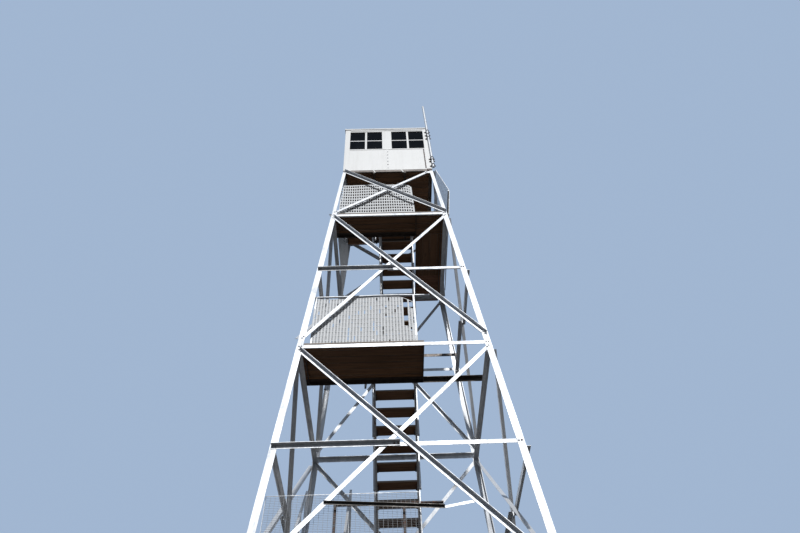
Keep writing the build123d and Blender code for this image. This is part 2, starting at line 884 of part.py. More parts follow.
def mast():
    """A pipe up the front right corner, leaning slightly to the left."""
    foot = Vector(mast_x(cab), MAST_Y, cab)
    head = Vector(mast_x(cab + MAST_TOP_ABOVE), MAST_Y, cab + MAST_TOP_ABOVE)
    ring = Plane(origin=foot, z_dir=head - foot) * Circle(MAST_RADIUS)
    return extrude(ring, (head - foot).length, dir=(head - foot).normalized())


def mast_clamps():
    """A block round the mast at each clamp, back to the front wall."""
    blocks = []
    pipe = mast()
    for above in CLAMP_HEIGHTS:
        low = cab + above - CLAMP_TALL / 2
        x = mast_x(cab + above)
        body = block(
            x - MAST_RADIUS - CLAMP_TAIL,
            x + MAST_RADIUS + CLAMP_REACH,
            MAST_Y - MAST_RADIUS - CLAMP_REACH,
            -CAB_SIDE / 2,
            low,
            low + CLAMP_TALL,
        )
        blocks.append(body - pipe)
    return blocks


# Write every node

LEGS = {
    "leg_front_left": (-1, -1),
    "leg_front_right": (1, -1),
    "leg_back_left": (-1, 1),
    "leg_back_right": (1, 1),
}

save("concrete_piers", piers())
save("base_plates", base_plates())
for node, (x_side, y_side) in LEGS.items():
    save(node, [leg(x_side, y_side)])
for face in ("front", "right", "back", "left"):
    save(f"{face}_braces", face_braces(face))
    save(f"{face}_struts", face_struts(face))
    save(f"{face}_wall", [wall(face)])
for number in range(len(landing)):
    save(f"landing_{number + 1}_deck", [deck(number)])
save("walkway_deck", [walkway_deck()])
save("landing_beams", landing_beams())
all_flights = flights()
for number, flight in enumerate(all_flights):
    save(f"flight_{number + 1}_treads", flight.treads())
save("stair_stringers", [bar for flight in all_flights for bar in flight.stringers()])
rails = [rail for flight in all_flights[:-1] for rail in flight.handrails()]
rails += all_flights[-1].handrails(stop_below=cab - JOIST_DEPTH - CLEAR)
save("stair_handrails", rails)
save("landing_6_front_guard", face_guard("front", landing[5], GUARD_6_FRONT))
save("landing_6_left_guard", face_guard("left", landing[5], GUARD_6_LEFT))
save(
    "landing_4_front_guard",
    face_guard("front", landing[3], GUARD_4_FRONT, GUARD_4_RAIL, GUARD_4_POSTS),
)
save(
    "landing_2_front_guard",
    face_guard("front", landing[1], GUARD_2_FRONT, GUARD_2_RAIL, GUARD_2_POSTS),
)
save("landing_2_low_rail", [low_rail()])
save("landing_6_right_screen", right_screen())
save("cab_beams", cab_beams())
save("cab_joists", cab_joists())
save("cab_floor", [cab_floor()])
save("window_glass", window_glass())
save("cab_roof", roof())
save("mast", [mast()])
save("mast_clamps", mast_clamps())
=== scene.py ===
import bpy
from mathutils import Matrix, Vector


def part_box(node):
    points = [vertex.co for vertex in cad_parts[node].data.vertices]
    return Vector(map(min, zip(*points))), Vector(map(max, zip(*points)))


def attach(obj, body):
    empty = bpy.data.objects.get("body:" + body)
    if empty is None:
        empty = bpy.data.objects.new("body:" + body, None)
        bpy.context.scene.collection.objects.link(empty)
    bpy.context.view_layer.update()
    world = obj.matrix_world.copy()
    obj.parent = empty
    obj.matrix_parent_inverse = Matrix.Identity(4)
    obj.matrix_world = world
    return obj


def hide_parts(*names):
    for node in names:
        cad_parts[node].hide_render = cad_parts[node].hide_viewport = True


bl_info = {
    "name": "Fire lookout tower",
    "version": (1, 0, 0),
    "blender": (4, 5, 0),
    "location": "3D View > Sidebar > Lookout",
    "description": "Boards, mesh guards, cab fittings, bolts and finishes for a steel lookout tower",
    "category": "Object",
}

import bpy
import numpy as np
from bpy.props import FloatProperty, FloatVectorProperty, IntProperty, PointerProperty
from mathutils import Matrix

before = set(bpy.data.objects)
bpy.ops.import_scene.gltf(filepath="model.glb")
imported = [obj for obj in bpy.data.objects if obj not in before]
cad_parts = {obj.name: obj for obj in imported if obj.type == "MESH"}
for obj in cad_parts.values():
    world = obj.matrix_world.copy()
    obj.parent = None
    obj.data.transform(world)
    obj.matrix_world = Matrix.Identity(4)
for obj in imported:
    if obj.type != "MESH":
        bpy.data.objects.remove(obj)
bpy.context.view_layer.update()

# What the CAD model says of the tower, in metres
wall_low, wall_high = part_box("front_wall")
leg_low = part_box("leg_front_left")[0]
CAB_HALF = wall_high.x
CAB_LEVEL = wall_low.z
EAVE_LEVEL = wall_high.z
ROOF_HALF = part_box("cab_roof")[1].x
ROOF_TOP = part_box("cab_roof")[1].z
LEG_FOOT = leg_low.z
TAPER = (-leg_low.x - CAB_HALF) / (CAB_LEVEL - LEG_FOOT)
LEAN = np.arctan(TAPER)
DECKS = {number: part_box(f"landing_{number}_deck") for number in range(1, 7)}
LEVELS = {number: low.z for number, (low, high) in DECKS.items()}
DECK_THICK = DECKS[1][1].z - DECKS[1][0].z

# Sizes that the CAD model is drawn with, in metres
LEG_SIDE = 0.102
LEG_THICK = 0.010
STRUT_SIDE = 0.075
STRUT_THICK = 0.006
HALF_STRUT_SIDE = 0.066
FRONT_STRUT_RAISE = 0.045
BRACE_SIDE = 0.064
BRACE_THICK = 0.006
BRACE_LAP = 0.015
BRACE_FOOT_RAISE = 0.075
TOP_BRACE_FOOT = 0.005
TOP_BRACE_HEAD = 0.056
TOP_BRACE_GAUGE = 0.042
TOP_GUSSET_REACH = 0.092
CLEAR = 0.005
BEAM_DEPTH = 0.075
STAIR_FRONT = -0.650
STAIR_BACK = 0.950
RISER_TARGET = 0.2325
CAB_FLOOR_RAISE = 0.032
HATCH = (-0.985, -0.355, STAIR_BACK - 1.0, STAIR_BACK)
GROUND_GOING = 0.178
TREAD_DEPTH = 0.230
NOSE_LEAD = 0.070
TREAD_THICK = 0.038
GUARD_BACK = LEG_THICK + BRACE_SIDE
WALKWAY_JOINT = 0.549
RAIL_SIDE = 0.038
RAIL_BACK = GUARD_BACK + 0.006 + RAIL_SIDE / 2
WINDOW_WIDTH = 0.840
WINDOW_HEIGHT = 0.920
SILL_LEVEL = CAB_LEVEL + 1.030
WINDOW_OFFSET = 0.535
MAST_RADIUS = 0.0285
MAST_TALL = 3.260
MAST_FOOT = np.array([1.100, -1.120, CAB_LEVEL])
MAST_HEAD = np.array([1.033, -1.120, CAB_LEVEL + MAST_TALL])
CLAMP_HEIGHTS = (0.120, 0.340, 0.450, 1.490, 1.660, 1.840)
SCREEN_HALF = 1.100
SCREEN_RAIL_X = 1.370
SCREEN_RAIL_ABOVE = 1.050
SCREEN_FOOT_ABOVE = 0.095
CAB_BEAM_DEPTH = 0.076
WASHER_THICK = 0.003
PIER_SIDE = 0.450
ROOF_TOP_HALF = 0.075

FACES = {"front": 0, "right": 90, "back": 180, "left": 270}
FRONT_LANDINGS = (2, 4, 6)
PANELS = (
    (LEG_FOOT, LEVELS[2]),
    (LEVELS[2], LEVELS[4]),
    (LEVELS[4], LEVELS[6]),
    (LEVELS[6], CAB_LEVEL),
)
RIGHTWARD = np.array([1.0, 0.0, 0.0])
BACKWARD = np.array([0.0, 1.0, 0.0])
UPWARD = np.array([0.0, 0.0, 1.0])
FACE_OUT = np.array([0.0, -np.cos(LEAN), np.sin(LEAN)])
FACE_UP = np.array([0.0, np.sin(LEAN), np.cos(LEAN)])

draw = np.random.default_rng(11)


# Sizes and colours that a user may change


def length(name, description, default):
    """A length in metres that a user may change."""
    return FloatProperty(name=name, description=description, default=default, unit="LENGTH")


def angle(name, description, degrees):
    """An angle that a user may change."""
    default = np.radians(degrees)
    return FloatProperty(name=name, description=description, default=default, subtype="ANGLE")


def tint(name, description, default):
    """A colour that a user may change, its opacity last."""
    return FloatVectorProperty(
        name=name, description=description, default=default, subtype="COLOR", size=4
    )


class BoardSizes(bpy.types.PropertyGroup):
    """Boards of the landings, the stairs and the cab floor."""

    width: length("Board width", "Width of one landing board", 0.146)
    gap: length("Gap", "Gap between two boards", 0.008)
    ease: length("Eased edge", "Width of the worn edge along each board", 0.004)


class MeshSizes(bpy.types.PropertyGroup):
    """Welded wire mesh of the guards."""

    top_pitch: length(
        "Top guard pitch", "Spacing of the uprights of the top landing's front guard", 0.0517
    )
    top_row: length(
        "Top guard row", "Spacing of the level strips of the top landing's front guard", 0.131
    )
    top_rime: length(
        "Top guard upright", "Width of the top guard's uprights with the rime on them", 0.023
    )
    middle_pitch: length(
        "Middle guard pitch", "Spacing of the uprights of the middle landing's guard", 0.053
    )
    middle_row: length(
        "Middle guard row", "Spacing of the level strips of the middle landing's guard", 0.111
    )
    middle_rime: length(
        "Middle guard upright", "Width of the middle guard's uprights with the rime on them", 0.030
    )
    level_rime: length(
        "Level strip", "Height of a guard's level strips with the rime on them", 0.050
    )
    bare_pitch: length("Bare mesh pitch", "Spacing of the upright wires of a bare mesh", 0.057)
    bare_row: length("Bare mesh row", "Spacing of the level wires of a bare mesh", 0.0245)
    bare_wire: length("Bare wire", "Thickness of a bare wire", 0.0036)


class CabSizes(bpy.types.PropertyGroup):
    """Trim and windows of the cab."""

    bar: length("Window bar", "Width of the upright bar between the panes", 0.052)
    transom: length("Transom", "Height of the level bar between the panes", 0.034)
    sash: length("Sash", "Width of the frame round a window", 0.006)
    corner: length("Corner strip", "Width of the folded strip at the cab's corners", 0.125)
    proud: length("Trim thickness", "How far the trim stands out from the wall", 0.006)
    rivet_rows: IntProperty(
        name="Rivets",
        description="Rivets in the column under the windows' middle post",
        default=6,
        min=2,
    )


class Colours(bpy.types.PropertyGroup):
    """Main colours of the finishes."""

    zinc: tint(
        "Galvanised steel", "Lighter colour of the galvanised steel", (0.72, 0.73, 0.74, 1.0)
    )
    zinc_dull: tint(
        "Dull zinc", "Darker patches of the galvanised steel", (0.50, 0.52, 0.55, 1.0)
    )
    sheet: tint("White sheet", "Paint of the cab's walls and trim", (0.84, 0.85, 0.85, 1.0))
    board: tint("Board", "Sheltered side of a board", (0.19, 0.088, 0.036, 1.0))
    # The next colour is partly real weathering and partly painted light: it goes on every face of a
    # board that doesn't look down
    board_weathered_and_lit: tint(
        "Weathered board",
        "Sides and edges of a board that the weather has greyed",
        (0.34, 0.30, 0.26, 1.0),
    )
    rime: tint("Rime", "White frost on the mesh", (0.86, 0.88, 0.90, 1.0))
    rust: tint("Rust", "Rust on bolts and steel", (0.16, 0.065, 0.030, 1.0))


class StageSettings(bpy.types.PropertyGroup):
    """Camera, floor and light."""

    eye: FloatVectorProperty(
        name="Eye",
        description="Where the camera stands",
        subtype="TRANSLATION",
        unit="LENGTH",
        size=3,
        default=(-0.0996, -9.2753, 1.138),
    )
    heading: angle("Heading", "Turn of the view to the right of straight ahead", 1.93)
    climb: angle("Climb", "Tilt of the view above level", 50.86)
    roll: angle("Roll", "Turn of the view about its own line", -2.88)
    lens: FloatProperty(
        name="Lens",
        description="Focal length in millimetres on a sensor 36 millimetres wide",
        default=29.7,
    )
    sky: tint("Backdrop", "Pale colour behind the tower", (0.36, 0.47, 0.64, 1.0))
    floor: tint("Floor", "Pale floor under the tower", (0.60, 0.60, 0.59, 1.0))


# Shapes: every point is a function of two parameters, worked out as whole arrays


def half_width(height):
    """Half the distance between the legs' outer corners: it grows evenly from the cab down."""
    return CAB_HALF + TAPER * (CAB_LEVEL - height)


def on_face(x, climb, out, face="front"):
    """Points on a leaning face: x along it, climb up it and out from it, then turned about Z."""
    x, climb, out = np.broadcast_arrays(x, climb, out)
    foot = np.array([0.0, -half_width(0.0), 0.0])
    points = foot + x[..., None] * RIGHTWARD + climb[..., None] * FACE_UP
    points = points + out[..., None] * FACE_OUT
    return turned(points, face)


def turned(points, face):
    """Points of the front face turned about Z to another face."""
    quarter = np.radians(FACES[face])
    cosine = np.cos(quarter)
    sine = np.sin(quarter)
    turn = np.array([[cosine, -sine, 0.0], [sine, cosine, 0.0], [0.0, 0.0, 1.0]])
    return np.asarray(points) @ turn.T


def unit(vectors):
    """Vectors divided by their lengths."""
    return vectors / np.linalg.norm(vectors, axis=-1, keepdims=True)


def carried(paths, side, outline, swell=1.0):
    """An outline carried along paths, with both ends closed.

    A ring's point is the path's point + swell * (u * side + v * over). (u, v) is the outline's
    point, side is made square to the path's run there, and over is square to both.
    """
    paths = np.asarray(paths, float)
    count, rings = paths.shape[:2]
    outline = np.asarray(outline, float)
    corners = len(outline)
    run = unit(np.gradient(paths, axis=1))
    side = np.broadcast_to(np.reshape(side, (-1, 1, 3)), paths.shape)
    side = unit(side - np.sum(side * run, axis=-1, keepdims=True) * run)
    over = np.cross(run, side)
    swell = np.broadcast_to(swell, (count, rings))[:, :, None, None]
    across = outline[:, 0, None] * side[:, :, None] + outline[:, 1, None] * over[:, :, None]
    points = paths[:, :, None] + swell * across
    index = np.arange(count * rings * corners).reshape(count, rings, corners)
    after = np.roll(index, -1, axis=2)
    walls = np.stack([index[:, :-1], after[:, :-1], after[:, 1:], index[:, 1:]], axis=-1)
    faces = walls.reshape(-1, 4).tolist()
    faces += index[:, 0, ::-1].tolist()
    faces += index[:, -1].tolist()
    group = np.repeat(np.arange(count), rings * corners)
    return points.reshape(-1, 3), faces, group


def straight(starts, ends):
    """Paths of two points each, from starts to ends."""
    starts, ends = np.broadcast_arrays(np.atleast_2d(starts), np.atleast_2d(ends))
    return np.stack([starts, ends], axis=1)


def rectangle(width, depth, ease=0.0):
    """An outline width by depth about its middle, its corners cut by ease."""
    x = width / 2
    y = depth / 2
    if ease == 0:
        return np.array([(x, -y), (x, y), (-x, y), (-x, -y)])
    cut_x = x - ease
    cut_y = y - ease
    return np.array(
        [
            (x, -cut_y),
            (x, cut_y),
            (cut_x, y),
            (-cut_x, y),
            (-x, cut_y),
            (-x, -cut_y),
            (-cut_x, -y),
            (cut_x, -y),
        ]
    )


def disc(radius, sides):
    """A regular outline: radius * (cos a, sin a) for evenly spaced a."""
    around = 2 * np.pi * np.arange(sides) / sides
    return radius * np.stack([np.cos(around), np.sin(around)], axis=1)


def square_to(runs):
    """A way that is clear of each run: rightward for a steep one, upward for the others."""
    return np.where(np.abs(runs[:, 2:3]) > 0.9, RIGHTWARD, UPWARD)


def bars(starts, ends, side, width, depth, ease=0.0):
    """Straight bars of one rectangular section."""
    return carried(straight(starts, ends), side, rectangle(width, depth, ease))


def wires(starts, ends, radius, sides):
    """Straight round wires. Their sections are turned any way that is square to the run."""
    paths = straight(starts, ends)
    run = unit(paths[:, 1] - paths[:, 0])
    return carried(paths, square_to(run), disc(radius, sides))


def bolts(places, ways, radius, tall):
    """Hexagon heads on thin washers, each standing on its place and pointing along its way."""
    places = np.atleast_2d(places)
    ways = unit(np.broadcast_to(ways, places.shape))
    side = square_to(ways)
    on_washer = places + WASHER_THICK * ways
    top = places + (WASHER_THICK + tall) * ways
    washer = carried(straight(places, on_washer), side, disc(1.35 * radius, 10))
    head = carried(straight(on_washer, top), side, disc(radius, 6))
    return [washer, head]


def joined(parts):
    """Several shapes as one: the points are stacked and each part's faces numbered on."""
    points = []
    faces = []
    groups = []
    first_point = 0
    first_group = 0
    for part_points, part_faces, part_group in parts:
        points.append(part_points)
        faces += [[corner + first_point for corner in face] for face in part_faces]
        groups.append(part_group + first_group)
        first_point += len(part_points)
        first_group += int(part_group.max()) + 1
    return np.concatenate(points), faces, np.concatenate(groups)


def piece(name, parts, finish, replaces=(), smooth=None):
    """One visible object from shapes: each bar gets its own shade in the attribute "tone"."""
    points, faces, group = joined(parts)
    mesh = bpy.data.meshes.new(name)
    mesh.from_pydata(points.tolist(), [], faces)
    mesh.validate()
    tone = draw.random(int(group.max()) + 1)[group]
    mesh.attributes.new("tone", "FLOAT", "POINT").data.foreach_set("value", tone)
    if smooth is not None:
        mesh.polygons.foreach_set("use_smooth", np.ones(len(mesh.polygons), bool))
        mesh.set_sharp_from_angle(angle=np.radians(smooth))
    mesh.materials.append(finish)
    made = bpy.data.objects.new(name, mesh)
    bpy.context.scene.collection.objects.link(made)
    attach(made, "root")
    if replaces:
        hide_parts(*replaces)
    return made


# Nodes and finishes


def put(tree, socket, value):
    """Link a socket to another, or set its value."""
    if isinstance(value, bpy.types.NodeSocket):
        tree.links.new(value, socket)
    else:
        socket.default_value = value


def node(tree, kind, settings=None, **inputs):
    """A shader node with its settings, and its inputs set to a value or linked to a socket."""
    made = tree.nodes.new(kind)
    for key, value in (settings or {}).items():
        setattr(made, key, value)
    for key, value in inputs.items():
        put(tree, made.inputs[key.replace("_", " ")], value)
    return made


def blended(tree, share, first, second):
    """A colour between two, by share."""
    made = node(tree, "ShaderNodeMix", {"data_type": "RGBA"})
    for place, value in ((0, share), (6, first), (7, second)):
        put(tree, made.inputs[place], value)
    return made.outputs[2]


def reckoned(tree, operation, first, second):
    """The outcome of one operation on two values."""
    made = node(tree, "ShaderNodeMath", {"operation": operation})
    put(tree, made.inputs[0], first)
    put(tree, made.inputs[1], second)
    return made.outputs[0]


def ranged(tree, value, low, high, to_low=0.0, to_high=1.0):
    """A value carried from one range to another, and held inside it."""
    made = node(
        tree,
        "ShaderNodeMapRange",
        Value=value,
        From_Min=low,
        From_Max=high,
        To_Min=to_low,
        To_Max=to_high,
    )
    return made.outputs["Result"]


def spread(tree, vector, scale, detail=3.0, rough=0.5):
    """Soft noise of the given scale."""
    made = node(
        tree, "ShaderNodeTexNoise", Vector=vector, Scale=scale, Detail=detail, Roughness=rough
    )
    return made.outputs["Fac"]


def stretched(tree, vector, scale):
    """The coordinates drawn out or squeezed along each axis."""
    return node(tree, "ShaderNodeMapping", Vector=vector, Scale=scale).outputs["Vector"]


def upright_part(tree, vector):
    """The vector's part along Z."""
    return node(tree, "ShaderNodeSeparateXYZ", Vector=vector).outputs["Z"]


def shaded(tree, colour, value):
    """The colour made darker or lighter."""
    return node(tree, "ShaderNodeHueSaturation", Color=colour, Value=value).outputs["Color"]


def new_group(name, inputs, outputs):
    """An empty shader node group with named inputs and outputs."""
    tree = bpy.data.node_groups.new(name, "ShaderNodeTree")
    for label, kind, value in inputs:
        socket = tree.interface.new_socket(name=label, in_out="INPUT", socket_type=kind)
        if value is not None:
            socket.default_value = value
    for label, kind in outputs:
        tree.interface.new_socket(name=label, in_out="OUTPUT", socket_type=kind)
    return tree, tree.nodes.new("NodeGroupInput"), tree.nodes.new("NodeGroupOutput")


def placed_group(tree, group, **inputs):
    """A node group put into a material with its own values."""
    return node(tree, "ShaderNodeGroup", {"node_tree": group}, **inputs)


def zinc_group():
    """Spangle, dull patches and upright streaks of galvanised steel, with rust where it is thin."""
    tree, given, out = new_group(
        "Galvanised surface",
        [
            ("Vector", "NodeSocketVector", None),
            ("Light", "NodeSocketColor", (0.7, 0.7, 0.7, 1.0)),
            ("Dull", "NodeSocketColor", (0.5, 0.5, 0.5, 1.0)),
            ("Rust", "NodeSocketColor", (0.2, 0.1, 0.05, 1.0)),
            ("Rust Amount", "NodeSocketFloat", 0.1),
        ],
        [
            ("Color", "NodeSocketColor"),
            ("Roughness", "NodeSocketFloat"),
            ("Metallic", "NodeSocketFloat"),
            ("Height", "NodeSocketFloat"),
        ],
    )
    vector = given.outputs["Vector"]
    cells = node(tree, "ShaderNodeTexVoronoi", Vector=vector, Scale=55.0)
    spangle = node(tree, "ShaderNodeSeparateColor", Color=cells.outputs["Color"]).outputs["Red"]
    patches = spread(tree, vector, 2.2, 5.0, 0.6)
    streaks = spread(tree, stretched(tree, vector, (14.0, 14.0, 0.9)), 1.0, 4.0, 0.6)
    dull = reckoned(tree, "MULTIPLY", ranged(tree, patches, 0.38, 0.66), 0.55)
    dull = reckoned(tree, "ADD", dull, ranged(tree, streaks, 0.42, 0.75, 0.0, 0.5))
    dull = reckoned(tree, "ADD", dull, ranged(tree, spangle, 0.0, 1.0, -0.12, 0.12))
    dull = ranged(tree, dull, 0.0, 1.0)
    zinc = blended(tree, dull, given.outputs["Light"], given.outputs["Dull"])
    specks = spread(tree, vector, 9.0, 6.0, 0.65)
    threshold = ranged(tree, given.outputs["Rust Amount"], 0.0, 1.0, 0.78, 0.42)
    rust = ranged(tree, reckoned(tree, "SUBTRACT", specks, threshold), 0.0, 0.07)
    colour = blended(tree, rust, zinc, given.outputs["Rust"])
    rough = ranged(tree, dull, 0.0, 1.0, 0.38, 0.62)
    rough = reckoned(tree, "MAXIMUM", rough, reckoned(tree, "MULTIPLY", rust, 0.85))
    metal = ranged(tree, rust, 0.0, 1.0, 0.35, 0.0)
    pits = spread(tree, vector, 180.0, 3.0)
    tree.links.new(colour, out.inputs["Color"])
    tree.links.new(rough, out.inputs["Roughness"])
    tree.links.new(metal, out.inputs["Metallic"])
    tree.links.new(reckoned(tree, "ADD", pits, spangle), out.inputs["Height"])
    return tree


def grime_group():
    """Upright dirt streaks and soft dents on painted sheet."""
    tree, given, out = new_group(
        "Grime",
        [
            ("Vector", "NodeSocketVector", None),
            ("Color", "NodeSocketColor", (0.8, 0.8, 0.8, 1.0)),
            ("Dirt", "NodeSocketColor", (0.4, 0.38, 0.34, 1.0)),
            ("Amount", "NodeSocketFloat", 0.3),
        ],
        [
            ("Color", "NodeSocketColor"),
            ("Roughness", "NodeSocketFloat"),
            ("Height", "NodeSocketFloat"),
        ],
    )
    vector = given.outputs["Vector"]
    runs = spread(tree, stretched(tree, vector, (9.0, 9.0, 0.5)), 1.0, 5.0, 0.65)
    cloud = spread(tree, vector, 1.3, 4.0, 0.6)
    mask = reckoned(tree, "MULTIPLY", ranged(tree, runs, 0.45, 0.8), ranged(tree, cloud, 0.3, 0.7))
    mask = reckoned(tree, "MULTIPLY", mask, given.outputs["Amount"])
    chips = ranged(tree, spread(tree, vector, 26.0, 5.0, 0.7), 0.74, 0.78, 0.0, 0.6)
    mask = reckoned(tree, "MAXIMUM", mask, reckoned(tree, "MULTIPLY", chips, given.outputs["Amount"]))
    colour = blended(tree, mask, given.outputs["Color"], given.outputs["Dirt"])
    dents = spread(tree, vector, 2.4, 2.0)
    brushed = spread(tree, stretched(tree, vector, (60.0, 60.0, 6.0)), 1.0, 2.0)
    tree.links.new(colour, out.inputs["Color"])
    tree.links.new(ranged(tree, mask, 0.0, 1.0, 0.42, 0.8), out.inputs["Roughness"])
    height = reckoned(tree, "ADD", dents, reckoned(tree, "MULTIPLY", brushed, 0.02))
    tree.links.new(height, out.inputs["Height"])
    return tree


def grain_group():
    """Grain, knots and board-to-board shade of timber whose grain runs along X."""
    tree, given, out = new_group(
        "Board grain",
        [
            ("Vector", "NodeSocketVector", None),
            ("Tone", "NodeSocketFloat", 0.5),
            ("Sheltered", "NodeSocketColor", (0.12, 0.06, 0.03, 1.0)),
            ("Weathered", "NodeSocketColor", (0.3, 0.28, 0.25, 1.0)),
            ("Weather", "NodeSocketFloat", 0.5),
        ],
        [
            ("Color", "NodeSocketColor"),
            ("Roughness", "NodeSocketFloat"),
            ("Height", "NodeSocketFloat"),
        ],
    )
    vector = given.outputs["Vector"]
    shift = node(tree, "ShaderNodeCombineXYZ")
    put(tree, shift.inputs["X"], reckoned(tree, "MULTIPLY", given.outputs["Tone"], 37.0))
    put(tree, shift.inputs["Z"], reckoned(tree, "MULTIPLY", given.outputs["Tone"], 11.0))
    moved = node(tree, "ShaderNodeVectorMath", {"operation": "ADD"})
    put(tree, moved.inputs[0], vector)
    put(tree, moved.inputs[1], shift.outputs["Vector"])
    place = moved.outputs["Vector"]
    fine = spread(tree, stretched(tree, place, (3.0, 120.0, 120.0)), 1.0, 5.0, 0.6)
    broad = spread(tree, stretched(tree, place, (1.1, 26.0, 26.0)), 1.0, 3.0, 0.55)
    lines = reckoned(tree, "MULTIPLY", ranged(tree, fine, 0.4, 0.7), 0.5)
    lines = reckoned(tree, "ADD", lines, ranged(tree, broad, 0.35, 0.7, 0.0, 0.6))
    rings = stretched(tree, place, (1.6, 7.0, 7.0))
    knots = node(tree, "ShaderNodeTexVoronoi", Vector=rings, Scale=1.0)
    knot = ranged(tree, knots.outputs["Distance"], 0.05, 0.16, 0.8, 0.0)
    lines = reckoned(tree, "MAXIMUM", lines, knot)
    sheltered = given.outputs["Sheltered"]
    weathered = given.outputs["Weathered"]
    base = blended(tree, given.outputs["Tone"], sheltered, shaded(tree, sheltered, 1.45))
    brown = blended(tree, lines, base, shaded(tree, sheltered, 0.42))
    grey = blended(tree, lines, weathered, shaded(tree, weathered, 0.6))
    # This share turns the board grey: partly real greying by the weather, partly painted light on
    # faces that don't look down
    colour = blended(tree, given.outputs["Weather"], brown, grey)
    tree.links.new(colour, out.inputs["Color"])
    tree.links.new(ranged(tree, lines, 0.0, 1.0, 0.62, 0.85), out.inputs["Roughness"])
    tree.links.new(fine, out.inputs["Height"])
    return tree


def new_finish(name):
    """A new material's node tree, its shader and its object coordinates."""
    made = bpy.data.materials.new(name)
    made.use_nodes = True
    tree = made.node_tree
    place = tree.nodes.new("ShaderNodeTexCoord").outputs["Object"]
    return tree, tree.nodes["Principled BSDF"], place


def bumped(tree, shader, height, strength, distance):
    """Relief from a height."""
    bump = node(tree, "ShaderNodeBump", Height=height, Strength=strength, Distance=distance)
    tree.links.new(bump.outputs["Normal"], shader.inputs["Normal"])


def coated(tree, shader, surface):
    """Link what a placed group puts out to the shader's sockets."""
    sockets = {"Color": "Base Color", "Roughness": "Roughness", "Metallic": "Metallic"}
    for output, socket in sockets.items():
        if output in surface.outputs:
            tree.links.new(surface.outputs[output], shader.inputs[socket])


def galvanised(tree, shader, place, group, light, dull, rust_amount):
    """Cover a material with the galvanised surface, from its light colour to its dull one."""
    rust = bpy.context.scene.lookout_colours.rust
    surface = placed_group(
        tree, group, Vector=place, Light=light, Dull=dull, Rust=rust, Rust_Amount=rust_amount
    )
    coated(tree, shader, surface)
    bumped(tree, shader, surface.outputs["Height"], 0.25, 0.0006)


def low_rail_finish(group):
    """The lowest rail: near-black along the landing as painted shade, and plain galvanised at its free
    end, which is +X.
    """
    colours = bpy.context.scene.lookout_colours
    tree, shader, place = new_finish("Low rail")
    along = node(tree, "ShaderNodeSeparateXYZ", Vector=place).outputs["X"]
    sunlit_end = ranged(tree, along, 0.555, 0.575)
    light = blended(tree, sunlit_end, (0.10, 0.09, 0.08, 1.0), colours.zinc)
    dull = blended(tree, sunlit_end, (0.05, 0.045, 0.04, 1.0), colours.zinc_dull)
    galvanised(tree, shader, place, group, light, dull, 0.2)


def sheet_finish(name, group, colour, amount):
    """White painted sheet with grime and shallow dents."""
    tree, shader, place = new_finish(name)
    surface = placed_group(tree, group, Vector=place, Color=colour, Amount=amount)
    coated(tree, shader, surface)
    bumped(tree, shader, surface.outputs["Height"], 0.35, 0.010)


def board_finish(name, group, along, sheltered):
    """Boards whose grain runs along X or Y, brown underneath and grey on the faces that don't look
    down: partly real greying by the weather, partly painted light that lightens those faces and leaves
    the undersides dark.
    """
    tree, shader, place = new_finish(name)
    if along == "y":
        quarter = (0.0, 0.0, np.radians(90))
        place = node(tree, "ShaderNodeMapping", Vector=place, Rotation=quarter).outputs["Vector"]
    tone = node(tree, "ShaderNodeAttribute", {"attribute_name": "tone"}).outputs["Fac"]
    facing = node(tree, "ShaderNodeNewGeometry").outputs["Normal"]
    # Painted light and shade, besides real greying by the weather: the grey share grows as a face
    # turns away from looking down
    weather = ranged(tree, upright_part(tree, facing), -0.85, -0.25, 0.0, 0.85)
    surface = placed_group(
        tree,
        group,
        Vector=place,
        Tone=tone,
        Sheltered=sheltered,
        Weathered=bpy.context.scene.lookout_colours.board_weathered_and_lit,
        Weather=weather,
    )
    coated(tree, shader, surface)
    bumped(tree, shader, surface.outputs["Height"], 0.5, 0.0015)


def rime_finish(name, hollow, crust):
    """Crusty frost on wire, from its hollows' colour to its crust's."""
    tree, shader, place = new_finish(name)
    lumps = spread(tree, place, 70.0, 4.0, 0.6)
    shade = blended(tree, ranged(tree, lumps, 0.3, 0.6), hollow, crust)
    tree.links.new(shade, shader.inputs["Base Color"])
    tree.links.new(ranged(tree, lumps, 0.3, 0.7, 0.5, 0.85), shader.inputs["Roughness"])
    bumped(tree, shader, lumps, 0.6, 0.006)


def glass_finish():
    """Dark window glass with a faint film of dirt; its near-black colour and low transmission are
    painted shade for the dark inside of the cab.
    """
    tree, shader, place = new_finish("Window glass")
    film = spread(tree, place, 5.0, 5.0, 0.65)
    dirty = ranged(tree, film, 0.35, 0.75)
    shade = blended(tree, dirty, (0.002, 0.002, 0.003, 1.0), (0.008, 0.009, 0.011, 1.0))
    tree.links.new(shade, shader.inputs["Base Color"])
    tree.links.new(ranged(tree, film, 0.4, 0.8, 0.03, 0.16), shader.inputs["Roughness"])
    shader.inputs["IOR"].default_value = 1.18
    shader.inputs["Specular IOR Level"].default_value = 0.15
    shader.inputs["Transmission Weight"].default_value = 0.10
    bumped(tree, shader, spread(tree, place, 1.7, 1.0), 0.12, 0.004)


def dark_steel_finish():
    """Dark, partly rusted fittings, also used for the painted shade and painted shadow strips on the
    cab's front wall.
    """
    rust = bpy.context.scene.lookout_colours.rust
    tree, shader, place = new_finish("Dark fittings")
    blotch = spread(tree, place, 34.0, 5.0, 0.65)
    colour = blended(tree, ranged(tree, blotch, 0.45, 0.65), (0.018, 0.018, 0.020, 1.0), rust)
    tree.links.new(colour, shader.inputs["Base Color"])
    tree.links.new(ranged(tree, blotch, 0.4, 0.7, 0.5, 0.85), shader.inputs["Roughness"])
    tree.links.new(ranged(tree, blotch, 0.4, 0.6, 0.2, 0.0), shader.inputs["Metallic"])
    bumped(tree, shader, blotch, 0.5, 0.001)


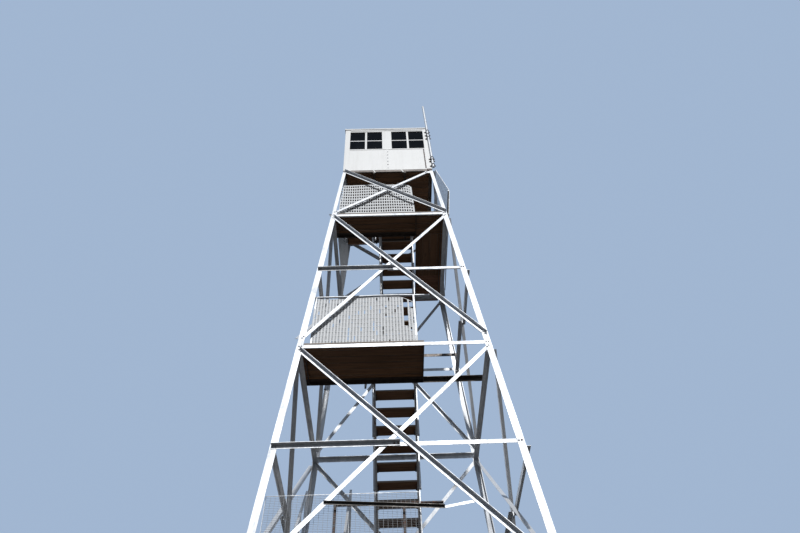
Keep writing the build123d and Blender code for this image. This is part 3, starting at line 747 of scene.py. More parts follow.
def concrete_finish():
    """Weathered concrete with pits and damp at its foot."""
    tree, shader, place = new_finish("Concrete")
    grit = spread(tree, place, 90.0, 6.0, 0.7)
    cloud = spread(tree, place, 3.5, 5.0, 0.6)
    clouded = ranged(tree, cloud, 0.3, 0.7, 0.0, 0.7)
    tone = reckoned(tree, "ADD", clouded, ranged(tree, grit, 0.4, 0.7, 0.0, 0.4))
    stone = blended(tree, tone, (0.44, 0.43, 0.41, 1.0), (0.26, 0.25, 0.235, 1.0))
    wavy = reckoned(tree, "MULTIPLY", cloud, 0.15)
    height = reckoned(tree, "ADD", upright_part(tree, place), wavy)
    damp = ranged(tree, height, 0.06, 0.2, 0.6, 0.0)
    colour = blended(tree, damp, stone, (0.12, 0.12, 0.10, 1.0))
    pits = ranged(tree, spread(tree, place, 45.0, 3.0), 0.62, 0.7, 1.0, 0.0)
    tree.links.new(colour, shader.inputs["Base Color"])
    tree.links.new(ranged(tree, tone, 0.0, 1.0, 0.8, 0.95), shader.inputs["Roughness"])
    bumped(tree, shader, reckoned(tree, "ADD", pits, grit), 0.5, 0.003)


def finishes():
    """Every finish by name, made once."""
    if "Galvanised steel" in bpy.data.materials:
        return bpy.data.materials
    colours = bpy.context.scene.lookout_colours
    zinc = zinc_group()
    grime = grime_group()
    grain = grain_group()
    for name, light, dull, rust_amount in (
        ("Galvanised steel", colours.zinc, colours.zinc_dull, 0.12),
        ("Galvanised beams", (0.40, 0.40, 0.41, 1.0), (0.24, 0.23, 0.22, 1.0), 0.4),
        # Painted shade: a near-black brown for the beams under the landings and the cab
        ("Steel in painted shade", (0.085, 0.068, 0.055, 1.0), (0.05, 0.036, 0.028, 1.0), 0.3),
        ("Bare wire", (0.60, 0.61, 0.62, 1.0), (0.40, 0.41, 0.42, 1.0), 0.3),
        ("Bolts", (0.40, 0.41, 0.42, 1.0), (0.24, 0.24, 0.25, 1.0), 0.62),
    ):
        tree, shader, place = new_finish(name)
        galvanised(tree, shader, place, zinc, light, dull, rust_amount)
    sheet_finish("White sheet", grime, colours.sheet, 0.35)
    sheet_finish("White trim", grime, colours.sheet, 0.4)
    sheet_finish("Roof sheet", grime, (0.78, 0.79, 0.79, 1.0), 0.45)
    board_finish("Boards along X", grain, "x", colours.board)
    board_finish("Boards along Y", grain, "y", colours.board)
    board_finish("Newer boards", grain, "x", (0.26, 0.115, 0.060, 1.0))
    board_finish("Joists", grain, "y", (0.060, 0.032, 0.018, 1.0))
    rime_finish("Rime on wire", (0.66, 0.69, 0.72, 1.0), colours.rime)
    rime_finish("Thin rime", (0.30, 0.31, 0.33, 1.0), (0.52, 0.53, 0.55, 1.0))
    low_rail_finish(zinc)
    glass_finish()
    dark_steel_finish()
    concrete_finish()
    return bpy.data.materials


def dress(names, finish):
    """Give CAD nodes a finish through their material slots."""
    for name in names:
        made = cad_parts[name]
        if not made.material_slots:
            made.data.materials.append(None)
        for slot in made.material_slots:
            slot.material = finish


# Boards

BOARD_STAGGER = 0.004
SLIVER = 0.02
SIDE_BOARD_GAP = 0.002
END_BOARD_GAP = 0.003
# The notch for a brace in a back landing: its half width, its spare depth and its reach past the edge
NOTCH_HALF = 0.077
NOTCH_SPARE = 0.012
NOTCH_PAST = 0.1


def without(span, blocked):
    """The parts of a span, slivers aside, that are left when blocked spans are taken out."""
    left = [span]
    for low, high in blocked:
        left = [
            part
            for start, stop in left
            for part in ((start, min(stop, low)), (max(start, high), stop))
        ]
    return [(start, stop) for start, stop in left if stop - start > SLIVER]


def board_rows(low, high, blocks, along="x", gap=None):
    """Rows of boards that fill a box, broken round blocks of (x0, x1, y0, y1).

    Row n's middle is low + (n + 1/2) * pitch. Each end is drawn back by a random share of the
    stagger.
    """
    sizes = bpy.context.scene.lookout_boards
    gap = sizes.gap if gap is None else gap
    run, cross = (0, 1) if along == "x" else (1, 0)
    extent = high[cross] - low[cross]
    rows = max(1, round(extent / (sizes.width + gap)))
    pitch = extent / rows
    starts = []
    ends = []
    for row in range(rows):
        near = low[cross] + row * pitch
        far = near + pitch
        blocked = []
        for block in blocks:
            spans = (block[:2], block[2:])
            if spans[cross][0] < far and spans[cross][1] > near:
                blocked.append(spans[run])
        for start, stop in without((low[run], high[run]), blocked):
            cut = draw.random(2) * BOARD_STAGGER
            first = [0.0, 0.0, (low[2] + high[2]) / 2]
            first[cross] = (near + far) / 2
            last = list(first)
            first[run] = start + cut[0]
            last[run] = stop - cut[1]
            starts.append(first)
            ends.append(last)
    side = BACKWARD if along == "x" else RIGHTWARD
    return bars(starts, ends, side, pitch - gap, high[2] - low[2], sizes.ease)


def leg_blocks(level):
    """Squares round the four legs that the boards keep clear of."""
    inner = half_width(level) - LEG_SIDE - CLEAR
    outer = half_width(level) + LEG_SIDE
    spans = ((-outer, -inner), (inner, outer))
    return [(*x, *y) for x in spans for y in spans]


def brace_ends(panel, drop, outside=False):
    """Ends, as (x, height), of the brace that rises to the right.

    The brace outside the legs is its mirror image, and in the top panel it is also the longer one.
    """
    margin = BRACE_SIDE / 2 + BRACE_LAP + CLEAR
    gauge = LEG_THICK + BRACE_SIDE / 2 + BRACE_LAP / 2 + CLEAR
    start = panel[0] + DECK_THICK + margin
    stop = panel[1] - STRUT_SIDE - drop - margin
    reach = 0.0
    if panel != PANELS[-1]:
        start += BRACE_FOOT_RAISE
    elif outside:
        gauge = TOP_BRACE_GAUGE
        start = panel[0] + TOP_BRACE_FOOT
        stop = panel[1] - TOP_BRACE_HEAD
    else:
        reach = TOP_GUSSET_REACH
    return (-(half_width(start) - gauge), start), (half_width(stop) - gauge - reach, stop)


def brace_block(number):
    """The notch in a back landing where the back face's inner brace passes."""
    (x_low, z_low), (x_high, z_high) = brace_ends(PANELS[(number - 1) // 2], 0.0)
    level = LEVELS[number] + DECK_THICK / 2
    middle = -(x_low + (level - z_low) / (z_high - z_low) * (x_high - x_low))
    reach = half_width(LEVELS[number] + DECK_THICK)
    near = reach - LEG_THICK - BRACE_SIDE - NOTCH_SPARE
    return (middle - NOTCH_HALF, middle + NOTCH_HALF, near, reach + NOTCH_PAST)


class LayLandings(bpy.types.Operator):
    """Lay the boards of the six landings and the walkway"""

    bl_idname = "lookout.lay_landings"
    bl_label = "Landing boards"

    def execute(self, context):
        materials = finishes()
        for number, (low, high) in DECKS.items():
            blocks = leg_blocks(low.z)
            if number not in FRONT_LANDINGS:
                blocks.append(brace_block(number))
            rows = [board_rows(low, high, blocks)]
            name = f"landing_{number}"
            piece(f"{name}_boards", rows, materials["Boards along X"], [f"{name}_deck"])
        self.walkway(materials)
        return {"FINISHED"}

    def walkway(self, materials):
        """Two kinds of boards: they run back along the side, then across at the back corner."""
        low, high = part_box("walkway_deck")
        blocks = leg_blocks(low.z)
        leg_side, leg_back = blocks[-1][0], blocks[-1][2]
        side_high = (high.x, WALKWAY_JOINT, high.z)
        rows = [board_rows(low, side_high, blocks, along="y", gap=SIDE_BOARD_GAP)]
        piece("walkway_boards", rows, materials["Boards along Y"], ["walkway_deck"])
        rows = [
            board_rows((x_low, WALKWAY_JOINT, low.z), corner, [], gap=END_BOARD_GAP)
            for x_low, corner in (
                (low.x, (leg_side, high.y, high.z)),
                (leg_side, (high.x, leg_back, high.z)),
            )
        ]
        piece("walkway_end_boards", rows, materials["Newer boards"])


# Stairs

FLOORS = (0.0, *(level + DECK_THICK for level in LEVELS.values()), CAB_LEVEL + CAB_FLOOR_RAISE)
# The middle and the width of each flight's lane, and how far its nosings lead
LANES = (
    (-1.180, 0.654, NOSE_LEAD),
    (0.0, 0.654, NOSE_LEAD),
    (-1.180, 0.654, NOSE_LEAD),
    (0.0, 0.654, NOSE_LEAD),
    (-0.840, 0.654, NOSE_LEAD),
    (0.140, 0.630, NOSE_LEAD),
    (-0.670, 0.552, 0.0),
)
TREAD_GAP = 0.004
# Thickness and size of a nosing's upright and level flange
NOSING_THICK = (0.003, 0.002)
NOSING_SIDE = (0.036, 0.028)
CLEAT_SIDE = (0.022, 0.030)
CLEAT_LONG = 0.13
CLEAT_BACK = 0.03
SHORTEST_CLEATED = 0.17


def flight_steps(low, high, lead, way):
    """Nose and depth along Y and top height of each tread of a flight.

    Tread n of a flight with m risers has its nose n/m of the way along, less the lead, and its
    top n/m of the way up.
    """
    risers = round((high - low) / RISER_TARGET)
    top_y = STAIR_BACK if way > 0 else STAIR_FRONT
    foot_y = STAIR_FRONT if way > 0 else STAIR_BACK
    if low == 0:
        foot_y = top_y - way * GROUND_GOING * risers
    number = np.arange(1, risers)
    nose = foot_y + way * (number * abs(top_y - foot_y) / risers - lead)
    depth = np.minimum(TREAD_DEPTH, np.abs(top_y - nose))
    top = low + number * (high - low) / risers
    return nose, depth, top


class LayStairs(bpy.types.Operator):
    """Lay the treads of the seven flights, each with its nosing angle and cleats"""

    bl_idname = "lookout.lay_stairs"
    bl_label = "Stair treads"

    def execute(self, context):
        materials = finishes()
        nosings = []
        cleats = []
        for number, (lane, width, lead) in enumerate(LANES, start=1):
            way = 1 if number % 2 else -1
            nose, depth, top = flight_steps(FLOORS[number - 1], FLOORS[number], lead, way)
            across = np.array([width, 0.0, 0.0])
            ends = np.stack([np.full(nose.shape, lane - width / 2), nose, top], axis=1)
            parts = []
            for size in np.unique(np.round(depth, 4)):
                kept = ends[np.abs(depth - size) < 0.0002]
                middle = TREAD_GAP + (size - TREAD_GAP) / 2
                left = kept + [0.0, way * middle, -TREAD_THICK / 2]
                parts.append(
                    bars(left, left + across, BACKWARD, size - TREAD_GAP, TREAD_THICK, 0.005)
                )
            name = f"flight_{number}"
            piece(f"{name}_boards", parts, materials["Boards along X"], [f"{name}_treads"])
            face = ends + [0.0, way * 0.0015, -0.019]
            cap = ends + [0.0, way * 0.016, -0.001]
            nosings.append(bars(face, face + across, BACKWARD, NOSING_THICK[0], NOSING_SIDE[0]))
            nosings.append(bars(cap, cap + across, BACKWARD, NOSING_SIDE[1], NOSING_THICK[1]))
            under = -TREAD_THICK - 0.016
            for x in (CLEAT_SIDE[0] / 2, width - CLEAT_SIDE[0] / 2):
                start = (ends + [x, way * CLEAT_BACK, under])[depth > SHORTEST_CLEATED]
                stop = start + [0.0, way * CLEAT_LONG, 0.0]
                cleats.append(bars(start, stop, RIGHTWARD, *CLEAT_SIDE, 0.002))
        piece("tread_nosings", nosings, materials["Galvanised beams"])
        piece("tread_cleats", cleats, materials["Dark fittings"])
        return {"FINISHED"}


# Wire mesh: each guard's left and right end and its top above the foot, on the leaning face

TOP_MESH = (-1.085, 0.540, 1.425)
LEFT_MESH = (-0.985, 0.985, 1.315)
MIDDLE_MESH = (-1.365, 0.385, 1.29)
LOW_MESH = (-1.690, 0.250, 1.335)
LOW_FRAME = (-1.700, 0.260, 1.345)
LOW_FRAME_BAR = 0.004
MESH_RAISE = 0.02
SCREEN_MARGIN = 0.01
STRIP_THICK = 0.008
# Handrails: both ends along X, the rise above the guard's foot, and where the posts stand
MIDDLE_RAIL = (-1.440, 0.670)
MIDDLE_RAIL_RISE = 1.331
MIDDLE_POSTS = (-1.361, 0.381)
LOW_RAIL = (-0.830, 0.555)
LOW_RAIL_RISE = 1.191
LOW_POSTS = (-0.811, 0.054)


def mesh_grid(x_low, x_high, climb_low, climb_high, pitch, row):
    """Crossings of a welded mesh: x and climb of an even grid."""
    columns = max(2, round((x_high - x_low) / pitch)) + 1
    rows = max(2, round((climb_high - climb_low) / row)) + 1
    x = np.linspace(x_low, x_high, columns)
    climb = np.linspace(climb_low, climb_high, rows)
    return np.meshgrid(x, climb, indexing="ij")


def rimed_mesh(crossings, keep, out, upright, level):
    """Frosted strips from crossing to crossing: upright or level wide, and thick along out.

    A strip's middle is the mean of its two crossings with a small random shift, and its swell
    is drawn at random too.
    """
    runs = (
        (crossings[:, :-1], crossings[:, 1:], keep[:, :-1] & keep[:, 1:], upright),
        (crossings[:-1], crossings[1:], keep[:-1] & keep[1:], level),
    )
    parts = []
    for first, last, kept, wide in runs:
        first = first[kept]
        last = last[kept]
        middle = (first + last) / 2
        middle = middle + draw.normal(0.0, 0.03 * wide, middle.shape)
        paths = np.stack([first, middle, last], axis=1)
        swell = draw.uniform(0.90, 1.08, (len(first), 3))
        outline = rectangle(STRIP_THICK, wide, STRIP_THICK / 4)
        parts.append(carried(paths, out, outline, swell))
    return parts


def bare_mesh(crossings, radius):
    """Straight thin wires from edge to edge through the crossings."""
    return [
        wires(crossings[:, 0], crossings[:, -1], radius, 4),
        wires(crossings[0], crossings[-1], radius, 4),
    ]


def guard_foot(level, back):
    """Climb up the leaning face at which a guard stands on its landing."""
    return (level + DECK_THICK + back * np.sin(LEAN)) / np.cos(LEAN)


def guard_frame(frame_size, foot, back, bar):
    """Flat bars round a mesh on the front face, with the bottom one on the landing."""
    x_low, x_high, height = frame_size
    inset = bar / 2
    x = np.array([x_low + inset, x_high - inset, x_high - inset, x_low + inset])
    climb = foot + np.array([inset, inset, height - inset, height - inset])
    corners = on_face(x, climb, -back)
    return bars(corners, np.roll(corners, -1, axis=0), FACE_OUT, 0.006, bar)


def guard_edge(x, climb, back, wide):
    """A mesh's end upright, leaning from x[0] at climb[0] to x[1] at climb[1]."""
    edge = on_face(np.array(x), np.array(climb), -back)
    return bars(edge[:1], edge[1:], FACE_OUT, 0.012, wide, 0.003)


def guard_posts(x, foot, tall, side):
    """Square posts up the leaning face, behind a guard."""
    x = np.array(x)
    low = on_face(x, foot, -RAIL_BACK)
    high = on_face(x, foot + tall, -RAIL_BACK)
    return bars(low, high, FACE_OUT, side, side, 0.002)


class WeaveGuards(bpy.types.Operator):
    """Weave the mesh guards of the landings at the true pitch of their wires"""

    bl_idname = "lookout.weave_guards"
    bl_label = "Mesh guards"

    def execute(self, context):
        materials = finishes()
        sizes = context.scene.lookout_mesh
        self.top_guard(materials, sizes)
        self.middle_guard(materials, sizes)
        self.middle_rail(materials)
        self.low_guard(materials, sizes)
        self.left_guard(materials, sizes)
        self.side_screen(materials, sizes)
        return {"FINISHED"}

    def top_guard(self, materials, sizes):
        """A grid that droops as a wave along its top, and steeply at its right end.

        u runs along the guard and v up it, each from about 0 to 1. A crossing sinks by
        v * (a wave in u + a square that starts at u = 0.91).
        """
        left, right, top = TOP_MESH
        back = GUARD_BACK + 0.016
        foot = guard_foot(LEVELS[6], back)
        x, climb = mesh_grid(
            left, right, foot + MESH_RAISE, foot + top, sizes.top_pitch, sizes.top_row
        )
        u = (x - left) / (right - left)
        v = (climb - foot) / 1.44
        x = x - 0.035 * u * v + draw.normal(0.0, 0.001, x.shape)
        sag = 0.014 + 0.010 * np.sin(9 * u) + 0.13 * np.maximum((u - 0.91) / 0.09, 0) ** 2
        climb = climb - sag * v + draw.normal(0.0, 0.002, x.shape)
        keep = np.ones(x.shape, bool)
        points = on_face(x, climb, -back + 0.004 * np.sin(9 * u + 5 * v))
        parts = rimed_mesh(points, keep, FACE_OUT, sizes.top_rime, sizes.level_rime)
        parts.append(guard_edge((0.545, 0.515), (foot + 0.005, foot + 1.29), back, 0.040))
        piece(
            "landing_6_front_mesh", parts, materials["Rime on wire"],
            ["landing_6_front_guard"], smooth=60,
        )

    def middle_guard(self, materials, sizes):
        """A grid that droops at its right end, torn there, with rime between its uprights.

        u runs along the guard and v up it, each from about 0 to 1. A crossing sinks by
        v * (a wave in u + a power of 1.5 that starts at u = 0.86).
        """
        left, right, top = MIDDLE_MESH
        back = GUARD_BACK + 0.018
        foot = guard_foot(LEVELS[4], back)
        x, climb = mesh_grid(
            left, right, foot + MESH_RAISE, foot + top, sizes.middle_pitch, sizes.middle_row
        )
        u = (x - left) / (right - left)
        v = (climb - foot) / 1.3
        sag = 0.02 + 0.012 * np.sin(6 * u) + 0.17 * np.maximum((u - 0.86) / 0.14, 0) ** 1.5
        climb = climb - sag * v + draw.normal(0.0, 0.002, x.shape)
        torn = (np.abs(u - 0.920) < 0.016) & (v > 0.44) & (v < 0.93)
        torn |= (np.abs(u - 0.895) < 0.016) & (v > 0.44) & (v < 0.62)
        torn |= (u > 0.94) & (u < 0.99) & (v > 0.12) & (draw.random(x.shape) < 0.15)
        keep = ~torn
        points = on_face(x, climb, -back + 0.006 * np.sin(8 * u + 3 * v))
        parts = rimed_mesh(points, keep, FACE_OUT, sizes.middle_rime, 0.3 * sizes.level_rime)
        whole = keep[:-1, :-1] & keep[1:, :-1] & keep[:-1, 1:] & keep[1:, 1:]
        whole &= draw.random(whole.shape) < 0.90
        low_edge = ((points[:-1, :-1] + points[1:, :-1]) / 2)[whole]
        high_edge = ((points[:-1, 1:] + points[1:, 1:]) / 2)[whole]
        start = draw.uniform(0.0, 0.3, (len(low_edge), 1))
        behind = 0.005 * FACE_OUT
        low_edge = low_edge + start * (high_edge - low_edge) - behind
        fill = bars(low_edge, high_edge - behind, FACE_OUT, 0.003, sizes.middle_pitch)
        piece("landing_4_mesh_fill", [fill], materials["Thin rime"])
        parts.append(guard_edge((0.375, 0.330), (foot + 0.005, foot + 0.55), back, 0.034))
        piece(
            "landing_4_front_mesh", parts, materials["Rime on wire"],
            ["landing_4_front_guard"], smooth=60,
        )

    def middle_rail(self, materials):
        """A handrail whose height swells by half a sine wave towards its right end."""
        foot = guard_foot(LEVELS[4], GUARD_BACK + 0.018)
        left, right = MIDDLE_RAIL
        u = np.linspace(0.0, 1.0, 15)
        swell = 0.018 * np.sin(np.pi * np.clip((u - 0.35) / 0.6, 0, 1))
        rail = on_face(left + (right - left) * u, foot + MIDDLE_RAIL_RISE + swell, -RAIL_BACK)
        tube = carried(rail[None], FACE_OUT, disc(RAIL_SIDE / 2, 10))
        posts = guard_posts(MIDDLE_POSTS, foot, 1.33, 0.030)
        piece("landing_4_rail", [tube, posts], materials["Galvanised steel"], smooth=40)

    def low_guard(self, materials, sizes):
        """A bare even grid in a thin frame, with a straight handrail behind it."""
        left, right, top = LOW_MESH
        back = GUARD_BACK + 0.004
        foot = guard_foot(LEVELS[2], back)
        x, climb = mesh_grid(
            left, right, foot + SCREEN_MARGIN, foot + top, sizes.bare_pitch, sizes.bare_row
        )
        parts = bare_mesh(on_face(x, climb, -back), sizes.bare_wire / 2)
        parts.append(guard_frame(LOW_FRAME, foot, back + 0.004, LOW_FRAME_BAR))
        piece(
            "landing_2_front_mesh", parts, materials["Bare wire"],
            ["landing_2_front_guard"],
        )
        ends = on_face(np.array(LOW_RAIL), foot + LOW_RAIL_RISE, -RAIL_BACK)
        tube = wires(ends[:1], ends[1:], RAIL_SIDE / 2, 10)
        posts = guard_posts(LOW_POSTS, foot, LOW_RAIL_RISE, 0.034)
        piece("landing_2_rail", [tube, posts], materials["Dark fittings"], smooth=40)

    def left_guard(self, materials, sizes):
        """An even rimed grid on the left face."""
        left, right, top = LEFT_MESH
        back = GUARD_BACK + 0.016
        foot = guard_foot(LEVELS[6], back)
        x, climb = mesh_grid(
            left, right, foot + MESH_RAISE, foot + top, sizes.top_pitch, sizes.top_row
        )
        keep = np.ones(x.shape, bool)
        points = on_face(x, climb, -back, "left")
        out = turned(FACE_OUT, "left")
        parts = rimed_mesh(points, keep, out, sizes.top_rime, sizes.level_rime)
        piece(
            "landing_6_left_mesh", parts, materials["Rime on wire"],
            ["landing_6_left_guard"], smooth=60,
        )

    def side_screen(self, materials, sizes):
        """Two flat screens that lean out to a rail and back in to the cab, on three posts.

        A crossing is low + share * (high - low) in x and z, and even along Y.
        """
        level = LEVELS[6]
        half = RAIL_SIDE / 2
        rail_z = level + SCREEN_RAIL_ABOVE
        brace_out = BRACE_SIDE / np.cos(LEAN) + CLEAR
        foot_z = level + SCREEN_FOOT_ABOVE
        head_z = CAB_LEVEL - CAB_BEAM_DEPTH
        edge = SCREEN_RAIL_X + half
        foot = (half_width(foot_z) + brace_out, foot_z)
        head = (half_width(head_z) + brace_out, head_z)
        reach = SCREEN_HALF - SCREEN_MARGIN
        parts = []
        for low, high in ((foot, (edge, rail_z - half)), ((edge - 0.006, rail_z + half), head)):
            slope = np.hypot(high[0] - low[0], high[1] - low[1])
            y, climb = mesh_grid(-reach, reach, 0.0, slope, sizes.bare_pitch, sizes.bare_row)
            share = climb / slope
            x = low[0] + share * (high[0] - low[0])
            z = low[1] + share * (high[1] - low[1])
            points = np.stack([x, y, z], axis=-1)
            parts += bare_mesh(points, 0.6 * sizes.bare_wire)
            border = points[[0, -1, -1, 0], [0, 0, -1, -1]]
            parts.append(wires(border, np.roll(border, -1, axis=0), 0.008, 6))
        rail = np.array([[SCREEN_RAIL_X, y, rail_z] for y in (-SCREEN_HALF, SCREEN_HALF)])
        parts.append(wires(rail[:1], rail[1:], half, 10))
        inside = half_width(level + DECK_THICK) - LEG_THICK - CLEAR - half
        low = np.array([[inside, y, level + DECK_THICK] for y in (-0.5, 0.0, 0.5)])
        high = low + [SCREEN_RAIL_X - inside, 0.0, SCREEN_RAIL_ABOVE - DECK_THICK - half]
        parts.append(bars(low, high, BACKWARD, 0.034, 0.034, 0.002))
        piece(
            "landing_6_right_mesh", parts, materials["Bare wire"],
            ["landing_6_right_screen"],
        )


# Cab

WINDOW_MIDDLE = SILL_LEVEL + WINDOW_HEIGHT / 2
SASH_DEPTH = 0.030
SASH_SET_IN = 0.004
PANE_THICK = 0.004
# Foot and head of the post under the windows, and of the painted shadow strip beside it
POST_ENDS = (CAB_LEVEL + 0.045, SILL_LEVEL - 0.040)
# Middle, height and thickness of the level strips at the sill, the eave and the floor
LEVEL_STRIPS = (
    (SILL_LEVEL - 0.020, 0.036, 0.007),
    (EAVE_LEVEL - 0.075, 0.050, 0.010),
    (CAB_LEVEL + 0.020, 0.040, 0.004),
)
# Where two white slanted strips stand on the cab's floor beam as painted sunlight
JOIST_SUNLIT_PATCHES = (-0.345, 0.325)
RIVET_PITCH = 0.155
ROOF_RIBS = 7


def strips(face, starts, ends, out, thick, wide, ease=0.001):
    """Flat strips along a cab wall, from points (x, z) to points (x, z).

    Their middles stand out from the wall's face by out, which is below zero inside it.
    """
    start = np.insert(np.array(starts, float), 1, -CAB_HALF - out, axis=1)
    end = np.insert(np.array(ends, float), 1, -CAB_HALF - out, axis=1)
    side = turned(-BACKWARD, face)
    return bars(turned(start, face), turned(end, face), side, thick, wide, ease)


class FitCab(bpy.types.Operator):
    """Fit the cab's window bars, panes, trim, rivets, floor boards and roof seams"""

    bl_idname = "lookout.fit_cab"
    bl_label = "Cab fittings"

    def execute(self, context):
        materials = finishes()
        sizes = context.scene.lookout_cab
        self.windows(materials, sizes)
        self.trim(materials, sizes)
        self.fittings(materials)
        self.rivets(materials, sizes)
        rows = board_rows(*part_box("cab_floor"), [HATCH])
        piece("cab_floor_boards", [rows], materials["Boards along X"], ["cab_floor"])
        self.roof(materials)
        return {"FINISHED"}

    def windows(self, materials, sizes):
        """Two windows on each face."""
        frames = []
        panes = []
        for face in FACES:
            for middle in (-WINDOW_OFFSET, WINDOW_OFFSET):
                frames += self.window_frame(face, middle, sizes)
                panes += self.window_panes(face, middle, sizes)
        piece("window_bars", frames, materials["White trim"])
        piece("window_panes", panes, materials["Window glass"], ["window_glass"])

    def window_frame(self, face, middle, sizes):
        """A window's two stiles and two rails, and the bar and the transom between them."""
        half_w = WINDOW_WIDTH / 2
        half_h = WINDOW_HEIGHT / 2
        left, right = middle - half_w, middle + half_w
        low, high = WINDOW_MIDDLE - half_h, WINDOW_MIDDLE + half_h
        sash = sizes.sash
        x = (left + sash / 2, right - sash / 2)
        z = (low + sash / 2, high - sash / 2)
        out = -SASH_SET_IN - SASH_DEPTH / 2
        stile = [(place, low) for place in x], [(place, high) for place in x]
        rail = [(left + sash, place) for place in z], [(right - sash, place) for place in z]
        bar = [(middle, low + sash)], [(middle, high - sash)]
        transom = [(left + sash, WINDOW_MIDDLE)], [(right - sash, WINDOW_MIDDLE)]
        return [
            strips(face, *stile, out, SASH_DEPTH, sash, 0.002),
            strips(face, *rail, out, SASH_DEPTH, sash, 0.002),
            strips(face, *bar, out, SASH_DEPTH - 0.006, sizes.bar, 0.003),
            strips(face, *transom, out, 0.014, sizes.transom, 0.003),
        ]

    def window_panes(self, face, middle, sizes):
        """A window's four panes, each from the bar and the transom to the frame."""
        near_x = sizes.bar / 2
        far_x = WINDOW_WIDTH / 2 - sizes.sash
        near_z = sizes.transom / 2
        far_z = WINDOW_HEIGHT / 2 - sizes.sash
        out = -SASH_SET_IN - SASH_DEPTH / 2 - PANE_THICK
        panes = []
        for side in (-1, 1):
            x = middle + side * (near_x + far_x) / 2
            for up in (-1, 1):
                low, high = sorted((WINDOW_MIDDLE + up * near_z, WINDOW_MIDDLE + up * far_z))
                panes.append(strips(face, [(x, low)], [(x, high)], out, PANE_THICK, far_x - near_x, 0))
        return panes

    def trim(self, materials, sizes):
        """The corner strips, the level strips and the post under the windows, on each face."""
        x = CAB_HALF - sizes.corner / 2
        reach = CAB_HALF - sizes.corner - 0.004
        top = EAVE_LEVEL - 0.045
        feet = [(-x, CAB_LEVEL), (x, CAB_LEVEL)]
        heads = [(-x, top), (x, top)]
        foot, head = POST_ENDS
        parts = []
        for face in FACES:
            parts.append(strips(face, feet, heads, sizes.proud / 2, sizes.proud, sizes.corner))
            for z, tall, thick in LEVEL_STRIPS:
                parts.append(strips(face, [(-reach, z)], [(reach, z)], thick / 2, thick, tall))
            parts.append(strips(face, [(0.0, foot)], [(0.0, head)], 0.002, 0.004, 0.060))
        piece("cab_trim", parts, materials["White trim"])

    def fittings(self, materials):
        """What only the front wall has: two white slanted strips at the joists as painted sunlight, a
        near-black plate at the right foot as painted shade, and a near-black strip beside the corner
        strip as a painted shadow line.
        """
        # Painted sunlight: white slanted strips over the beam's face where sunlit patches fall
        feet = [(x, CAB_LEVEL + 0.004) for x in JOIST_SUNLIT_PATCHES]
        heads = [(x + 0.045, z - 0.115) for x, z in feet]
        cleats = strips("front", feet, heads, 0.003, 0.005, 0.026, 0)
        piece("cab_painted_sunlight", [cleats], materials["White trim"])
        # Painted shade: a near-black plate at the right foot of the wall
        low, high = (1.0, CAB_LEVEL - 0.070), (1.0, CAB_LEVEL + 0.008)
        shade_plate = strips("front", [low], [high], 0.010, 0.006, 0.110)
        piece("cab_corner_painted_shade", [shade_plate], materials["Dark fittings"])
        # Painted shadow: a near-black strip where the gap beside the corner strip lies in shadow
        low, high = (0.926, POST_ENDS[0]), (0.918, POST_ENDS[1])
        shadow_strip = strips("front", [low], [high], 0.0015, 0.003, 0.028, 0)
        piece("cab_corner_painted_shadow", [shadow_strip], materials["Dark fittings"])

    def rivets(self, materials, sizes):
        """A column of rivets up the post under the windows, on each face."""
        heights = CAB_LEVEL + 0.10 + RIVET_PITCH * np.arange(sizes.rivet_rows)
        places = np.array([(0.010, -CAB_HALF - 0.004, height) for height in heights])
        parts = []
        for face in FACES:
            parts += bolts(turned(places, face), turned(-BACKWARD, face), 0.014, 0.006)
        piece("cab_rivets", parts, materials["Bolts"])

    def roof(self, materials):
        """Ribs up each slope of the roof and a cap along each hip.

        A rib ends just short of the hip beside it, at the eave's height + slope * its way in.
        """
        slope = (ROOF_TOP - EAVE_LEVEL) / (ROOF_HALF - ROOF_TOP_HALF)
        x = np.linspace(-0.9, 0.9, ROOF_RIBS)
        y = -np.maximum(np.abs(x), ROOF_TOP_HALF) - 0.01
        foot_z = np.full(ROOF_RIBS, EAVE_LEVEL + 0.006)
        feet = np.stack([x, np.full(ROOF_RIBS, 0.004 - ROOF_HALF), foot_z], axis=1)
        heads = np.stack([x, y, foot_z + slope * (ROOF_HALF + y)], axis=1)
        corner = np.array([0.012 - ROOF_HALF, 0.012 - ROOF_HALF, EAVE_LEVEL + 0.008])
        peak = np.array([-ROOF_TOP_HALF, -ROOF_TOP_HALF, ROOF_TOP - 0.012])
        parts = []
        for face in FACES:
            side = turned(RIGHTWARD, face)
            parts.append(bars(turned(feet, face), turned(heads, face), side, 0.012, 0.022, 0.002))
            parts.append(wires(turned(corner, face), turned(peak, face), 0.016, 8))
        piece("roof_seams", parts, materials["Roof sheet"])


# Mast, piers and bolts

BEND_RADIUS = 0.034
BEND_STEPS = 13
# Height and swell of the rings of a pier, whose top edge is rounded off
PIER_HEIGHTS = (0.0, 0.02, 0.27, 0.295, 0.300)
PIER_SWELLS = (1.0, 1.0, 1.0, 0.975, 0.94)
# Radius and height of the head of a bolt in the steelwork
BOLT = (0.012, 0.009)


